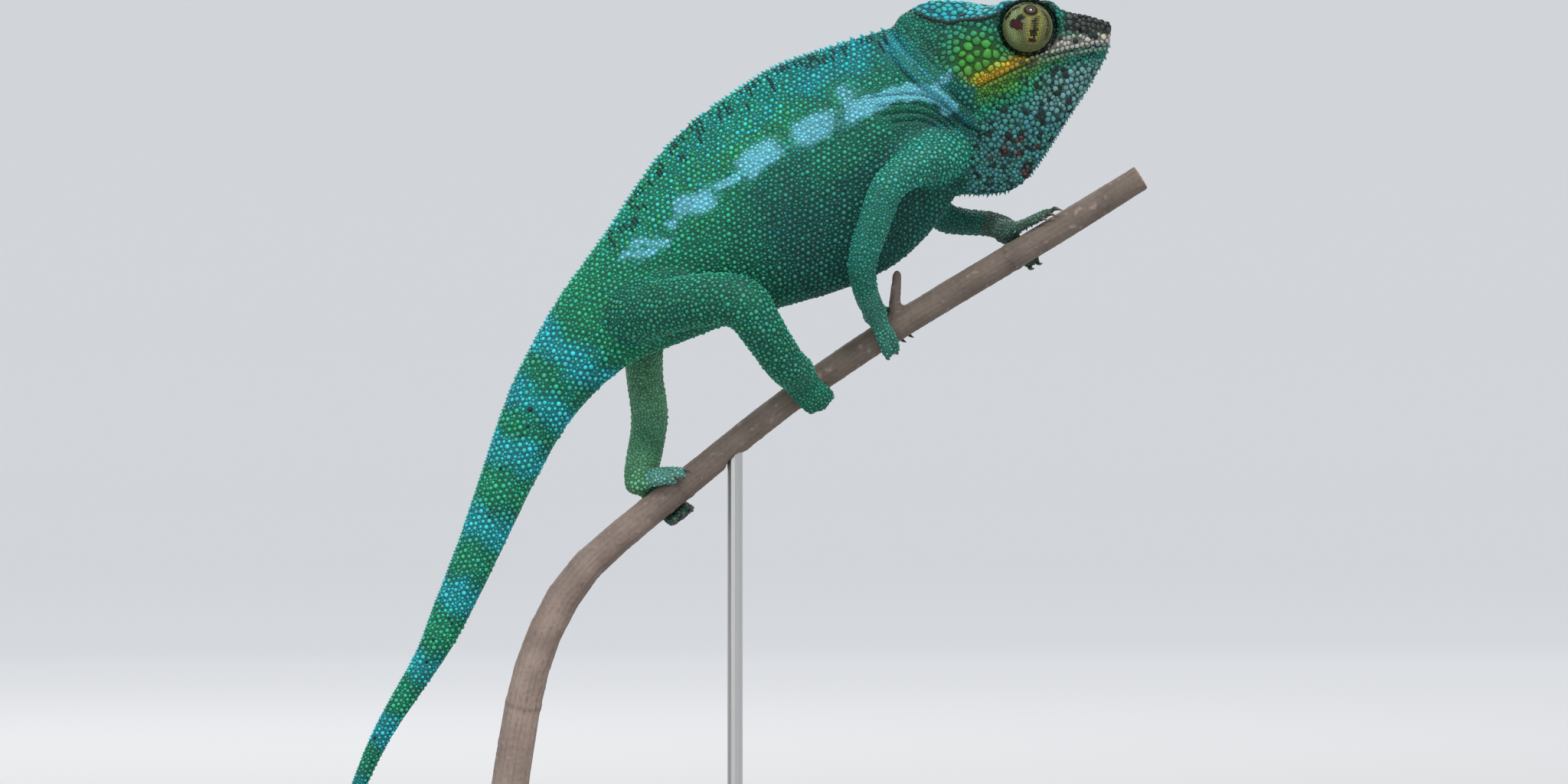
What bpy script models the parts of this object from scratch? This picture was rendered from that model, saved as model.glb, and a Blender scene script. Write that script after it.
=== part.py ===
"""A male panther chameleon gripping a cut length of branch, on a plain display stand, at life size.

The animal faces +X, its right flank faces -Y, and the origin is the centre of the base's underside.
Sizes are in millimetres. The soft forms are lofted, fused into one smooth body, and parted with thin cuts.
"""

import math

import bmesh
import bpy
from mathutils import Matrix, Vector

MM = 0.001
GAP = 0.3                 # clear space between neighbouring parts
VOXEL = 0.75              # grain at which the lofted forms are fused
AXIAL_FACES = 2000        # triangles left on head, neck, trunk and tail together
WHOLE_FACES = 3600        # triangles left on the whole animal, of which the limbs are kept

# Display stand
BASE_LENGTH, BASE_DEPTH, BASE_THICK = 230.0, 112.0, 12.0
BASE_CORNER, BASE_EDGE = 18.0, 1.6
ROD_RADIUS, ROD_SINK = 2.5, 7.0
ROD_X = {"stand_rod_rear": -79.6, "stand_rod_mid": -5.0}

# The branch: x, z and radius along its middle, which lies in the plane y = 0
BRANCH = [
    (-80.2, 62.0, 6.7), (-74.8, 98.0, 6.4), (-68.0, 122.3, 6.1), (-55.8, 143.5, 5.7), (-37.0, 160.5, 5.4),
    (-17.0, 176.5, 5.1), (5.0, 194.5, 4.8), (29.5, 212.3, 4.9), (55.0, 228.8, 5.0),
    (80.0, 243.8, 5.0), (105.0, 259.0, 4.9), (127.5, 273.0, 4.6),
]
KNOTS = [(59.0, 0.35, 3.0), (-58.0, 0.5, 4.0)]          # x, height and width of the swellings
TWIG_X, TWIG_LENGTH, TWIG_RADIUS = 46.5, 13.0, 2.3      # a side twig trimmed to a stub
TWIG_ROWS = (0.0, 0.35, 0.7, 1.0)

# Trunk and tail: x, z, half depth, half width and keel (0 is a round section, 1 a sharp-backed leaf)
TAIL_CURL_TURN = 320.0    # degrees that the hanging end of the tail coils through
TAIL_CURL_LENGTH = 128.0
TAIL_CURL_CUTS = (0.22, 0.40, 0.56, 0.72)      # where the coil is parted, as shares of its length
BODY = [
    (-127.7, 75.0, 2.8, 2.6, 0.2), (-119.4, 92.9, 3.6, 3.2, 0.2), (-105.4, 115.6, 4.9, 4.4, 0.3),
    (-99.7, 127.0, 6.1, 5.2, 0.3), (-89.1, 151.0, 7.4, 6.3, 0.4), (-78.1, 178.0, 9.2, 7.8, 0.5),
    (-66.9, 202.0, 11.9, 9.4, 0.6), (-50.4, 223.7, 16.5, 11.2, 0.7), (-31.0, 239.7, 23.7, 13.6, 0.9),
    (-4.8, 259.9, 34.2, 15.2, 1.0), (22.6, 274.2, 38.6, 15.8, 1.0), (36.2, 282.7, 36.8, 15.0, 1.0),
    (51.5, 293.2, 30.8, 13.0, 0.9), (62.0, 297.0, 26.5, 11.6, 0.7), (72.0, 299.0, 19.0, 10.0, 0.5),
]

# Head: x; height of the roof; half width and height of the crest, cheek, lip and throat; lowest height
HEAD = [
    (47.5, 325.8, (2.2, 324.8), (6.5, 315.5), (10.5, 304.0), (8.5, 288.0), 276.0),
    (57.0, 330.8, (6.8, 324.5), (10.5, 315.0), (13.2, 303.0), (9.8, 286.0), 268.5),
    (67.0, 331.4, (10.4, 322.6), (13.2, 314.0), (15.2, 303.0), (9.2, 284.0), 266.6),
    (76.0, 329.6, (13.2, 325.2), (14.6, 314.0), (15.2, 303.5), (7.8, 284.0), 266.2),
    (83.0, 328.8, (14.6, 329.2), (12.6, 319.5), (14.2, 306.0), (6.9, 285.0), 266.8),
    (90.0, 329.4, (14.4, 331.2), (11.0, 320.5), (13.2, 309.5), (6.3, 288.0), 270.2),
    (97.0, 328.0, (12.6, 329.8), (10.0, 320.5), (11.6, 312.5), (5.9, 293.0), 280.0),
    (104.0, 324.8, (9.8, 326.0), (9.6, 320.5), (9.8, 314.2), (5.5, 301.0), 291.4),
    (110.0, 322.8, (7.8, 323.8), (8.0, 320.2), (8.1, 315.6), (5.0, 308.0), 300.4),
    (115.0, 321.2, (5.6, 322.4), (6.0, 319.6), (5.9, 316.6), (4.4, 313.4), 309.4),
    (117.4, 320.2, (3.8, 320.9), (4.3, 319.4), (4.1, 317.4), (3.1, 315.8), 314.0),
]
ROSTRAL_LOBE = [(102.0, 8.6, 325.6, 1.8), (110.0, 6.4, 324.0, 2.1), (117.4, 3.9, 322.4, 1.8)]
MOUTH = [
    (38.0, 324.5), (50.0, 319.0), (61.0, 308.5), (73.8, 301.6), (85.0, 306.8), (98.8, 312.6), (122.0, 316.6),
]
THROAT_CUT = [(73.8, 301.6), (70.0, 258.0)]

# Eye turrets
TURRET_CENTRE, TURRET_RADIUS = (90.0, 11.6, 321.4), 8.3
TURRET_LOOK = (0.10, 0.76, 0.64)          # where the left eye points; the right one is its mirror
EYEBALL_RADIUS, EYEBALL_SHOW = 2.6, 0.7

# Limbs: x, distance out from the middle plane, z and radius, from inside the body to the foot
ARM_RIGHT = [
    (65.0, 5.0, 281.0, 7.6), (60.5, 11.5, 279.3, 7.8), (52.8, 18.5, 275.6, 6.4), (44.5, 23.5, 269.0, 5.8),
    (39.6, 24.0, 256.0, 5.5), (36.2, 21.0, 244.8, 4.9), (37.4, 15.4, 235.6, 4.4), (40.4, 9.0, 229.0, 4.0),
]
ARM_LEFT = [
    (60.0, 5.0, 275.0, 7.4), (58.8, 12.0, 270.5, 7.2), (60.0, 18.5, 264.5, 5.9), (64.5, 20.8, 260.2, 5.2),
    (71.5, 18.4, 259.0, 4.6), (78.0, 13.4, 258.4, 4.5), (83.0, 8.6, 256.8, 4.4),
]
LEG_RIGHT = [
    (-42.0, 5.0, 226.6, 8.8), (-34.0, 12.2, 229.0, 9.4), (-22.0, 20.4, 231.6, 9.0), (-10.0, 26.0, 233.0, 8.7),
    (-2.0, 27.8, 231.4, 8.6), (5.0, 24.6, 221.6, 7.4), (11.0, 17.8, 212.6, 6.9), (15.4, 10.0, 208.8, 6.4),
]
LEG_LEFT = [
    (-42.0, 5.0, 226.0, 8.8), (-40.0, 12.6, 228.0, 8.8), (-37.4, 20.6, 228.6, 8.3), (-36.0, 25.4, 222.6, 7.4),
    (-35.0, 22.6, 208.0, 6.4), (-33.2, 16.4, 195.0, 6.4), (-34.6, 9.8, 183.6, 6.0), (-36.0, 4.6, 176.4, 5.8),
]
LIMBS = {
    # path, side (+1 is +Y), name of upper, lower and foot, cut places along the path (0 to 1)
    "arm_right": (ARM_RIGHT, -1, ("upper_arm_right", "forearm_right", "hand_right"), (0.44, 0.84)),
    "arm_left": (ARM_LEFT, 1, ("upper_arm_left", "forearm_left", "hand_left"), (0.47, 0.84)),
    "leg_right": (LEG_RIGHT, -1, ("thigh_right", "shank_right", "foot_right"), (0.63, 0.86)),
    "leg_left": (LEG_LEFT, 1, ("thigh_left", "shank_left", "foot_left"), (0.50, 0.80)),
}

# Feet: x where the branch is gripped, angle of the sole round the branch (0 is on top, + towards +Y) and
# sole radius, then the inner and outer toe bundles: toes, end angle, slide along the branch, toe radius
FEET = {
    "hand_right": (44.6, -34.0, 4.0, {"inner": (3, 118.0, 3.0, 1.9), "outer": (2, -150.0, -2.0, 2.2)}),
    "hand_left": (88.0, 30.0, 4.2, {"inner": (3, -28.0, 13.0, 1.9), "outer": (2, 138.0, 2.0, 2.0)}),
    "foot_right": (17.4, -46.0, 5.4, {"inner": (2, 112.0, 2.0, 2.3), "outer": (3, -150.0, 2.0, 2.6)}),
    "foot_left": (-30.0, 14.0, 5.0, {"inner": (2, -62.0, 11.0, 2.6), "outer": (3, 182.0, 4.0, 2.2)}),
}
TOE_PITCH = 1.55          # distance between neighbouring toes, in toe radii
TOE_CUT = 0.30            # where a toe bundle is parted from the sole, as a share of its length
CLAW_LENGTH, CLAW_RADIUS = 2.9, 0.8

# Where the head, neck, trunk and tail are parted: middle of the cut, direction of the body there, and reach
SLICES = [
    ((-130.6, 68.0), (0.38, 0.93), 9.0), ((-109.5, 109.0), (0.53, 0.85), 12.0),
    ((-89.1, 151.0), (0.40, 0.92), 16.0), ((-63.5, 207.0), (0.52, 0.86), 26.0),
    ((53.5, 293.3), (0.87, 0.50), 40.0),
]
COLOURS = {
    "skin": (0.03, 0.27, 0.20, 1.0), "tail": (0.03, 0.36, 0.33, 1.0), "head": (0.07, 0.32, 0.16, 1.0),
    "limb": (0.05, 0.33, 0.18, 1.0), "turret": (0.36, 0.38, 0.11, 1.0), "pupil": (0.01, 0.01, 0.01, 1.0),
    "bark": (0.20, 0.14, 0.11, 1.0), "wood": (0.10, 0.05, 0.03, 1.0), "steel": (0.55, 0.55, 0.56, 1.0),
}

for stale in list(bpy.data.objects):
    bpy.data.objects.remove(stale)

parts = bpy.data.collections.new("chameleon")
cutters = bpy.data.collections.new("cutters")
bpy.context.scene.collection.children.link(parts)
bpy.context.scene.collection.children.link(cutters)


# ---- meshes and objects ---------------------------------------------------------------------------

def new_object(name, bm, collection=cutters):
    """Make an object from a bmesh whose points are in millimetres."""
    bmesh.ops.scale(bm, vec=Vector((MM, MM, MM)), verts=bm.verts)
    bmesh.ops.recalc_face_normals(bm, faces=bm.faces)
    mesh = bpy.data.meshes.new(name)
    bm.to_mesh(mesh)
    bm.free()
    obj = bpy.data.objects.new(name, mesh)
    collection.objects.link(obj)
    return obj


def applied(obj):
    """Bake an object's modifiers into its mesh."""
    graph = bpy.context.evaluated_depsgraph_get()
    mesh = bpy.data.meshes.new_from_object(obj.evaluated_get(graph))
    obj.modifiers.clear()
    obj.data = mesh
    return obj


def joined(name, objects):
    """Put several meshes in one object, without fusing them."""
    bm = bmesh.new()
    for obj in objects:
        bm.from_mesh(obj.data)
        bpy.data.objects.remove(obj)
    mesh = bpy.data.meshes.new(name)
    bm.to_mesh(mesh)
    bm.free()
    obj = bpy.data.objects.new(name, mesh)
    cutters.objects.link(obj)
    return obj


def copied(obj, name):
    twin = bpy.data.objects.new(name, obj.data.copy())
    cutters.objects.link(twin)
    return twin


def fused(obj, faces, relax=3):
    """Melt overlapping forms into one closed skin, relax it, and bring it down to a number of triangles."""
    remesh = obj.modifiers.new("fuse", "REMESH")
    remesh.mode = "VOXEL"
    remesh.voxel_size = VOXEL * MM
    smooth = obj.modifiers.new("relax", "SMOOTH")
    smooth.factor = 0.5
    smooth.iterations = relax
    applied(obj)
    triangles = sum(len(p.vertices) - 2 for p in obj.data.polygons)
    thin = obj.modifiers.new("thin", "DECIMATE")
    thin.ratio = faces / triangles
    thin.use_collapse_triangulate = True
    return applied(obj)


def inflated(obj, distance, name):
    """A copy grown outwards, for cutting a neighbour with an even gap."""
    twin = copied(obj, name)
    bm = bmesh.new()
    bm.from_mesh(twin.data)
    bm.normal_update()
    for v in bm.verts:
        v.co += v.normal * distance * MM * min(v.calc_shell_factor(), 1.6)
    bm.to_mesh(twin.data)
    bm.free()
    return twin


def boolean(obj, other, operation, keep_other=False):
    mod = obj.modifiers.new("cut", "BOOLEAN")
    mod.operation = operation
    mod.solver = "EXACT"
    mod.object = other
    applied(obj)
    if not keep_other:
        bpy.data.objects.remove(other)
    return obj


def loose_parts(obj, least):
    """Split an object into its separate bodies, dropping slivers under a volume in cubic millimetres."""
    whole = bmesh.new()
    whole.from_mesh(obj.data)
    seen, bodies = set(), []
    for start in whole.verts:
        if start in seen:
            continue
        island, queue = {start}, [start]
        while queue:
            for edge in queue.pop().link_edges:
                for v in edge.verts:
                    if v not in island:
                        island.add(v)
                        queue.append(v)
        seen |= island
        body = bmesh.new()
        twin = {v: body.verts.new(v.co) for v in island}
        for face in {f for v in island for f in v.link_faces}:
            body.faces.new([twin[v] for v in face.verts])
        if abs(body.calc_volume()) > least * MM ** 3:
            mesh = bpy.data.meshes.new(obj.name)
            body.to_mesh(mesh)
            piece = bpy.data.objects.new(obj.name, mesh)
            cutters.objects.link(piece)
            bodies.append(piece)
        body.free()
    whole.free()
    bpy.data.objects.remove(obj)
    return bodies


def middle(obj):
    total = Vector()
    for v in obj.data.vertices:
        total += v.co
    return total / len(obj.data.vertices) / MM


def finished(obj, name, colour, rough=0.6, metal=0.0):
    """Name a part, give it its own material and put it in the model's collection."""
    cutters.objects.unlink(obj)
    parts.objects.link(obj)
    obj.name = name
    obj.data.name = name
    obj.data.materials.clear()
    mat = bpy.data.materials.new(name)
    mat.use_nodes = True
    shader = mat.node_tree.nodes["Principled BSDF"]
    shader.inputs["Base Color"].default_value = COLOURS[colour]
    shader.inputs["Roughness"].default_value = rough
    shader.inputs["Metallic"].default_value = metal
    obj.data.materials.append(mat)
    obj.data.shade_smooth()
    obj.data.set_sharp_from_angle(angle=math.radians(40.0))
    return obj


# ---- curves and lofts -----------------------------------------------------------------------------

def spline(stations, t):
    """Point at t (0 to 1) on a smooth curve through rows of numbers."""
    place = min(max(t, 0.0), 1.0) * (len(stations) - 1)
    i = min(int(place), len(stations) - 2)
    u = place - i
    p = [stations[min(max(k, 0), len(stations) - 1)] for k in (i - 1, i, i + 1, i + 2)]
    return tuple(
        0.5 * (2 * b + (c - a) * u + (2 * a - 5 * b + 4 * c - d) * u * u + (3 * b - a - 3 * c + d) * u ** 3)
        for a, b, c, d in zip(*p)
    )


def resampled(stations, count):
    return [spline(stations, k / (count - 1)) for k in range(count)]


def loft(name, rings):
    """Skin a list of rings with as many points each, with closed ends."""
    bm = bmesh.new()
    rows = [[bm.verts.new(p) for p in ring] for ring in rings]
    for a, b in zip(rows, rows[1:]):
        for k in range(len(a)):
            n = (k + 1) % len(a)
            bm.faces.new((a[k], a[n], b[n], b[k]))
    bm.faces.new(rows[0][::-1])
    bm.faces.new(rows[-1])
    return new_object(name, bm)


def tube(name, path, sides=14):
    """A round form through (x, y, z, radius) rows, with domed ends."""
    points = [Vector(p[:3]) for p in path]
    radii = [p[3] for p in path]
    rings = []
    side = Vector((0.0, 1.0, 0.0))
    for i, point in enumerate(points):
        ahead = (points[min(i + 1, len(points) - 1)] - points[max(i - 1, 0)]).normalized()
        side = (side - ahead * side.dot(ahead)).normalized()
        up = ahead.cross(side)
        turns = [2 * math.pi * k / sides for k in range(sides)]
        rings.append([point + (side * math.cos(a) + up * math.sin(a)) * radii[i] for a in turns])
        if i in (0, len(points) - 1):
            sign = 1.0 if i else -1.0
            dome = []
            for lift in (0.5, 1.0, 1.4):
                tip = point + ahead * sign * radii[i] * math.sin(lift)
                dome.append([
                    tip + (side * math.cos(a) + up * math.sin(a)) * radii[i] * math.cos(lift) for a in turns
                ])
            rings = rings + dome if i else dome[::-1] + rings
    return loft(name, rings)


def leaf(half_depth, half_width, keel, sides=28):
    """Body section: round for keel 0, and sharp-backed with its width low on the flank for keel 1."""
    outline = []
    for k in range(sides):
        a = 2 * math.pi * (k + 0.5) / sides
        c, s = math.cos(a), math.sin(a)
        width = math.copysign(abs(c) ** (1.0 + 0.22 * keel), c) * (1.0 - 0.03 * keel)
        outline.append((half_width * width * (1.0 - 0.26 * keel * s), half_depth * s))
    return outline


# ---- the branch -----------------------------------------------------------------------------------

def branch_at(x):
    """Middle, direction, up-side and radius of the branch at a distance along X."""
    low, high = 0.0, 1.0
    for _ in range(30):
        mid = (low + high) / 2
        low, high = (mid, high) if spline(BRANCH, mid)[0] < x else (low, mid)
    here, ahead = spline(BRANCH, low), spline(BRANCH, low + 0.01)
    along = Vector((ahead[0] - here[0], 0.0, ahead[1] - here[1])).normalized()
    return Vector((here[0], 0.0, here[1])), along, Vector((-along.z, 0.0, along.x)), here[2]


def round_branch(x, angle, distance):
    """Point beside the branch: angle 0 is on top and 90 on the +Y side, distance from the branch's middle."""
    centre, _, up, _ = branch_at(x)
    a = math.radians(angle)
    return centre + (up * math.cos(a) + Vector((0.0, 1.0, 0.0)) * math.sin(a)) * distance


def branch_form(name, extra):
    """The branch, thickened by an amount, with square-cut ends and a slight swelling at each knot."""
    rows = resampled(BRANCH, 22)
    side = Vector((0.0, 1.0, 0.0))
    turns = [2 * math.pi * k / 10 for k in range(10)]
    rings = []
    for i, (x, z, radius) in enumerate(rows):
        before, after = rows[max(i - 1, 0)], rows[min(i + 1, len(rows) - 1)]
        ahead = Vector((after[0] - before[0], 0.0, after[1] - before[1])).normalized()
        knots = sum(height * math.exp(-((x - place) / width) ** 2) for place, height, width in KNOTS)
        middle_point = Vector((x, 0.0, z))
        reach = radius + knots + extra
        rings.append([
            middle_point + (side * math.cos(a) + ahead.cross(side) * math.sin(a)) * reach for a in turns
        ])
    return loft(name, rings)


def twig_form(extra):
    """The side twig, trimmed to a stub, thickened by an amount."""
    centre, along, up, radius = branch_at(TWIG_X)
    end = centre + (up * 0.80 + along * 0.60) * (radius + TWIG_LENGTH)
    rows = [(*centre.lerp(end, f), TWIG_RADIUS * (1.15 - 0.3 * f) + extra) for f in TWIG_ROWS]
    return tube("twig", rows, 10)


# ---- the animal's forms ---------------------------------------------------------------------------

def tail_curl():
    """Rows that carry the tail on from the last body row: it hangs, then coils forwards and inwards."""
    x, z, depth, width, keel = BODY[0]
    heading = math.atan2(BODY[0][1] - BODY[1][1], BODY[0][0] - BODY[1][0])
    rows, steps = [], 25
    step = TAIL_CURL_LENGTH / steps
    for k in range(1, steps + 1):
        f = k / steps
        turn = math.radians(TAIL_CURL_TURN) * (0.25 + 1.5 * f) / steps
        heading += turn
        x += step * math.cos(heading)
        z += step * math.sin(heading)
        taper = (1.0 - f) ** 0.85
        rows.append((x, z, 0.75 + (depth - 0.75) * taper, 0.75 + (width - 0.75) * taper, keel * (1 - f)))
    return rows[::-1]


def body_form():
    rows = tail_curl() + resampled(BODY, 44)
    rings = []
    for i, (x, z, depth, width, keel) in enumerate(rows):
        before, after = rows[max(i - 1, 0)], rows[min(i + 1, len(rows) - 1)]
        ahead = Vector((after[0] - before[0], 0.0, after[1] - before[1])).normalized()
        up = Vector((-ahead.z, 0.0, ahead.x))
        rings.append([
            Vector((x, u, z)) + up * v for u, v in leaf(depth, width, keel)
        ])
    return loft("body", rings)


def head_form():
    flat = [(x, roof, *crest, *cheek, *lip, *throat, low) for x, roof, crest, cheek, lip, throat, low in HEAD]
    rings = []
    for x, roof, cy, cz, ty, tz, ly, lz, gy, gz, low in resampled(flat, 34):
        right = [(0.0, roof), (cy, cz), (ty, tz), (ly, lz), (gy, gz), (0.0, low)]
        left = [(-y, z) for y, z in right[-2:0:-1]]
        loop = right + left
        ring = []
        for k in range(len(loop)):
            p = [loop[(k + j) % len(loop)] for j in (-1, 0, 1, 2)]
            for u in (0.0, 0.33, 0.67):
                ring.append(tuple(
                    0.5 * (2 * b + (c - a) * 0.7 * u + (1.4 * a - 4.6 * b + 3.9 * c - 0.7 * d) * u * u
                           + (2.6 * b - 0.7 * a - 2.6 * c + 0.7 * d) * u ** 3) if u else b
                    for a, b, c, d in zip(*p)
                ))
        rings.append([Vector((x, y, z)) for y, z in ring])
    return loft("skull", rings)


def rostral_lobes():
    return [tube("lobe", [(x, s * y, z, r) for x, y, z, r in ROSTRAL_LOBE], 10) for s in (-1, 1)]


def toe_path(foot, bundle, k):
    """Rows of one toe: out of the sole, round the branch to its end angle, tapering a little."""
    x, sole_angle, sole, bundles = FEET[foot]
    toes, end_angle, slide, radius = bundles[bundle]
    _, along, _, branch_radius = branch_at(x)
    spread = (k - (toes - 1) / 2) * TOE_PITCH * radius
    rows = []
    for i in range(11):
        t = i / 10
        angle = sole_angle + (end_angle - sole_angle) * t
        shift = spread * (0.55 + 0.45 * math.sin(math.pi * min(t * 1.2, 1.0) / 2)) + slide * t
        thick = radius * (1.0 - 0.18 * t)
        lift = branch_radius + GAP + thick + (sole - radius) * max(0.0, 1.0 - 2.2 * t) ** 2
        rows.append((*round_branch(x + shift * along.x, angle, lift), thick))
    return rows


def foot_forms(foot):
    x, angle, sole, bundles = FEET[foot]
    radius = branch_at(x)[3]
    centre = round_branch(x, angle, radius + GAP + sole * 0.95)
    along = branch_at(x)[1]
    forms = [tube("sole", [(*(centre + along * d), sole * 0.96) for d in (-0.8, 0.0, 0.8)])]
    for bundle, (toes, _, _, _) in bundles.items():
        forms += [tube("toe", toe_path(foot, bundle, k), 10) for k in range(toes)]
    return forms


def claw(rows):
    """A curved claw that leaves a toe's tip and hooks in towards the branch."""
    tip, before = Vector(rows[-1][:3]), Vector(rows[-2][:3])
    ahead = (tip - before).normalized()
    inward = branch_at(tip.x)[0] - tip
    inward = (inward - ahead * inward.dot(ahead)).normalized()
    across = ahead.cross(inward)
    root = tip + ahead * rows[-1][3] * 0.4 - inward * rows[-1][3] * 0.25
    turns = [2 * math.pi * k / 5 for k in range(5)]
    rings = []
    for s, size in ((0.0, 1.0), (0.5, 0.75), (1.0, 0.12)):
        middle_point = root + ahead * CLAW_LENGTH * s + inward * CLAW_LENGTH * 0.55 * s * s
        wide, deep = across * 0.8 * CLAW_RADIUS * size, (inward - ahead * s) * CLAW_RADIUS * size
        rings.append([middle_point + wide * math.cos(a) + deep * math.sin(a) for a in turns])
    return loft("claw", rings)


# ---- cutting shapes -------------------------------------------------------------------------------

def plate(points, reach):
    """A thin upright sheet along a line of (x, z) points, reaching to both sides of the middle plane."""
    bm = bmesh.new()
    rows = []
    for i, (x, z) in enumerate(points):
        a, b = points[max(i - 1, 0)], points[min(i + 1, len(points) - 1)]
        across = Vector((a[1] - b[1], b[0] - a[0])).normalized() * GAP / 2
        corners = ((-1, -reach), (1, -reach), (1, reach), (-1, reach))
        rows.append([bm.verts.new((x + s * across.x, y, z + s * across.y)) for s, y in corners])
    for a, b in zip(rows, rows[1:]):
        for k in range(4):
            n = (k + 1) % 4
            bm.faces.new((a[k], a[n], b[n], b[k]))
    bm.faces.new(rows[0][::-1])
    bm.faces.new(rows[-1])
    return new_object("slice", bm)


def disc(centre, normal, radius):
    """A thin round sheet that parts a limb."""
    bm = bmesh.new()
    bmesh.ops.create_cone(bm, cap_ends=True, segments=24, radius1=radius, radius2=radius, depth=GAP)
    turn = Vector((0.0, 0.0, 1.0)).rotation_difference(normal).to_matrix().to_4x4()
    bmesh.ops.transform(bm, matrix=Matrix.Translation(centre) @ turn, verts=bm.verts)
    return new_object("slice", bm)


def ball(centre, radius, name, segments=14, rings=8, look=None):
    bm = bmesh.new()
    bmesh.ops.create_uvsphere(bm, u_segments=segments, v_segments=rings, radius=radius)
    turn = Vector((0.0, 0.0, 1.0)).rotation_difference(look).to_matrix().to_4x4() if look else Matrix()
    bmesh.ops.transform(bm, matrix=Matrix.Translation(centre) @ turn, verts=bm.verts)
    return new_object(name, bm)


def nearest(point, seeds):
    return min(seeds, key=lambda name: (Vector(seeds[name]) - point).length)


# ---- head, neck, trunk and tail -------------------------------------------------------------------

curl = tail_curl()[::-1]
for share in TAIL_CURL_CUTS:
    place = round(share * len(curl))
    (ax, az, *_), (x, z, depth, *_), (bx, bz, *_) = curl[place - 1], curl[place], curl[place + 1]
    length = math.hypot(bx - ax, bz - az)
    SLICES.append(((x, z), ((bx - ax) / length, (bz - az) / length), depth + 1.6))

axial = fused(joined("axial", [body_form(), head_form(), *rostral_lobes()]), AXIAL_FACES)
axial_grown = inflated(axial, GAP * 1.1, "axial_grown")

for (x, z), (dx, dz), reach in SLICES:
    ends = [(x - dz * reach, z + dx * reach), (x + dz * reach, z - dx * reach)]
    boolean(axial, plate(ends, 60.0), "DIFFERENCE")
boolean(axial, plate(MOUTH, 40.0), "DIFFERENCE")
boolean(axial, plate(THROAT_CUT, 40.0), "DIFFERENCE")

axial_seeds = {
    "head": (88.0, 0.0, 320.0), "lower_jaw": (88.0, 0.0, 295.0), "neck": (58.0, 0.0, 296.0),
    "trunk": (0.0, 0.0, 260.0), "tail_1": (-78.0, 0.0, 178.0), "tail_2": (-99.0, 0.0, 130.0),
    "tail_3": (-120.0, 0.0, 90.0),
}
for number, (a, b) in enumerate(zip((0.0, *TAIL_CURL_CUTS), (*TAIL_CURL_CUTS, 1.0))):
    x, z = curl[min(round((a + b) / 2 * len(curl)), len(curl) - 1)][:2]
    axial_seeds[f"tail_{4 + number}"] = (x, 0.0, z)
for piece in loose_parts(axial, 3.0):
    seed = nearest(middle(piece), axial_seeds)
    kind = seed.split("_")[0]
    finished(piece, seed, {"tail": "tail", "head": "head", "lower": "head"}.get(kind, "skin"))

# ---- limbs ----------------------------------------------------------------------------------------

def sided(path, side):
    return [(x, side * y, z, r) for x, y, z, r in path]


def toe_middle(foot, bundle, share):
    """Point at a share of the way along a toe bundle, between its toes."""
    toes = FEET[foot][3][bundle][0]
    return sum((Vector(spline(toe_path(foot, bundle, k), share)[:3]) for k in range(toes)), Vector()) / toes


def parted_limb(limb, path, side, names, cuts):
    """Cut a limb into upper, lower and foot, and its foot into a sole and two toe bundles with claws."""
    rows = sided(path, side)
    for cut in cuts:
        here, ahead = spline(rows, cut), spline(rows, cut + 0.02)
        normal = (Vector(ahead[:3]) - Vector(here[:3])).normalized()
        boolean(limb, disc(Vector(here[:3]), normal, here[3] * 1.7), "DIFFERENCE")
    foot = names[2]
    x, sole_angle, sole, bundles = FEET[foot]
    seeds = {
        names[0]: spline(rows, cuts[0] * 0.62)[:3],
        names[1]: spline(rows, sum(cuts) / 2)[:3],
        foot: round_branch(x, sole_angle, branch_at(x)[3] + sole),
    }
    for bundle, (toes, _, _, radius) in bundles.items():
        here = toe_middle(foot, bundle, TOE_CUT)
        normal = (toe_middle(foot, bundle, TOE_CUT + 0.1) - here).normalized()
        boolean(limb, disc(here, normal, radius * (toes * 0.8 + 1.6)), "DIFFERENCE")
        seeds[f"toes_{bundle}_{foot}"] = toe_middle(foot, bundle, 0.7)
    for piece in loose_parts(limb, 5.0):
        name = nearest(middle(piece), seeds)
        if name.startswith("toes"):
            bundle = name.split("_")[1]
            for k in range(bundles[bundle][0]):
                boolean(piece, claw(toe_path(foot, bundle, k)), "UNION")
            boolean(piece, branch_form("branch_clear", GAP), "DIFFERENCE")
        finished(piece, name, "limb")


forms = [body_form(), head_form()]
for path, side, names, _ in LIMBS.values():
    forms.append(tube("limb", resampled(sided(path, side), 26)))
    forms += foot_forms(names[2])
whole = fused(joined("whole", forms), WHOLE_FACES, relax=2)
boolean(whole, axial_grown, "DIFFERENCE")
boolean(whole, branch_form("branch_clear", GAP), "DIFFERENCE")
boolean(whole, twig_form(GAP), "DIFFERENCE")

limb_seeds = {key: spline(sided(path, side), 0.5)[:3] for key, (path, side, _, _) in LIMBS.items()}
for limb in loose_parts(whole, 300.0):
    parted_limb(limb, *LIMBS[nearest(middle(limb), limb_seeds)])

# ---- eyes -----------------------------------------------------------------------------------------

for label, side in (("left", 1), ("right", -1)):
    x, y, z = TURRET_CENTRE
    centre = Vector((x, side * y, z))
    look = Vector((TURRET_LOOK[0], side * TURRET_LOOK[1], TURRET_LOOK[2])).normalized()
    pupil_centre = centre + look * (TURRET_RADIUS - EYEBALL_RADIUS + EYEBALL_SHOW)
    boolean(parts.objects["head"], ball(centre, TURRET_RADIUS + GAP, "socket", look=look), "DIFFERENCE")
    turret = ball(centre, TURRET_RADIUS, "turret", look=look)
    boolean(turret, ball(pupil_centre, EYEBALL_RADIUS + GAP, "lid_rim", 10, 6, look), "DIFFERENCE")
    finished(turret, f"eye_turret_{label}", "turret")
    eyeball = ball(pupil_centre, EYEBALL_RADIUS, "eyeball", 10, 6, look)
    finished(eyeball, f"eyeball_{label}", "pupil", rough=0.1)

# ---- perch and stand ------------------------------------------------------------------------------

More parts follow.
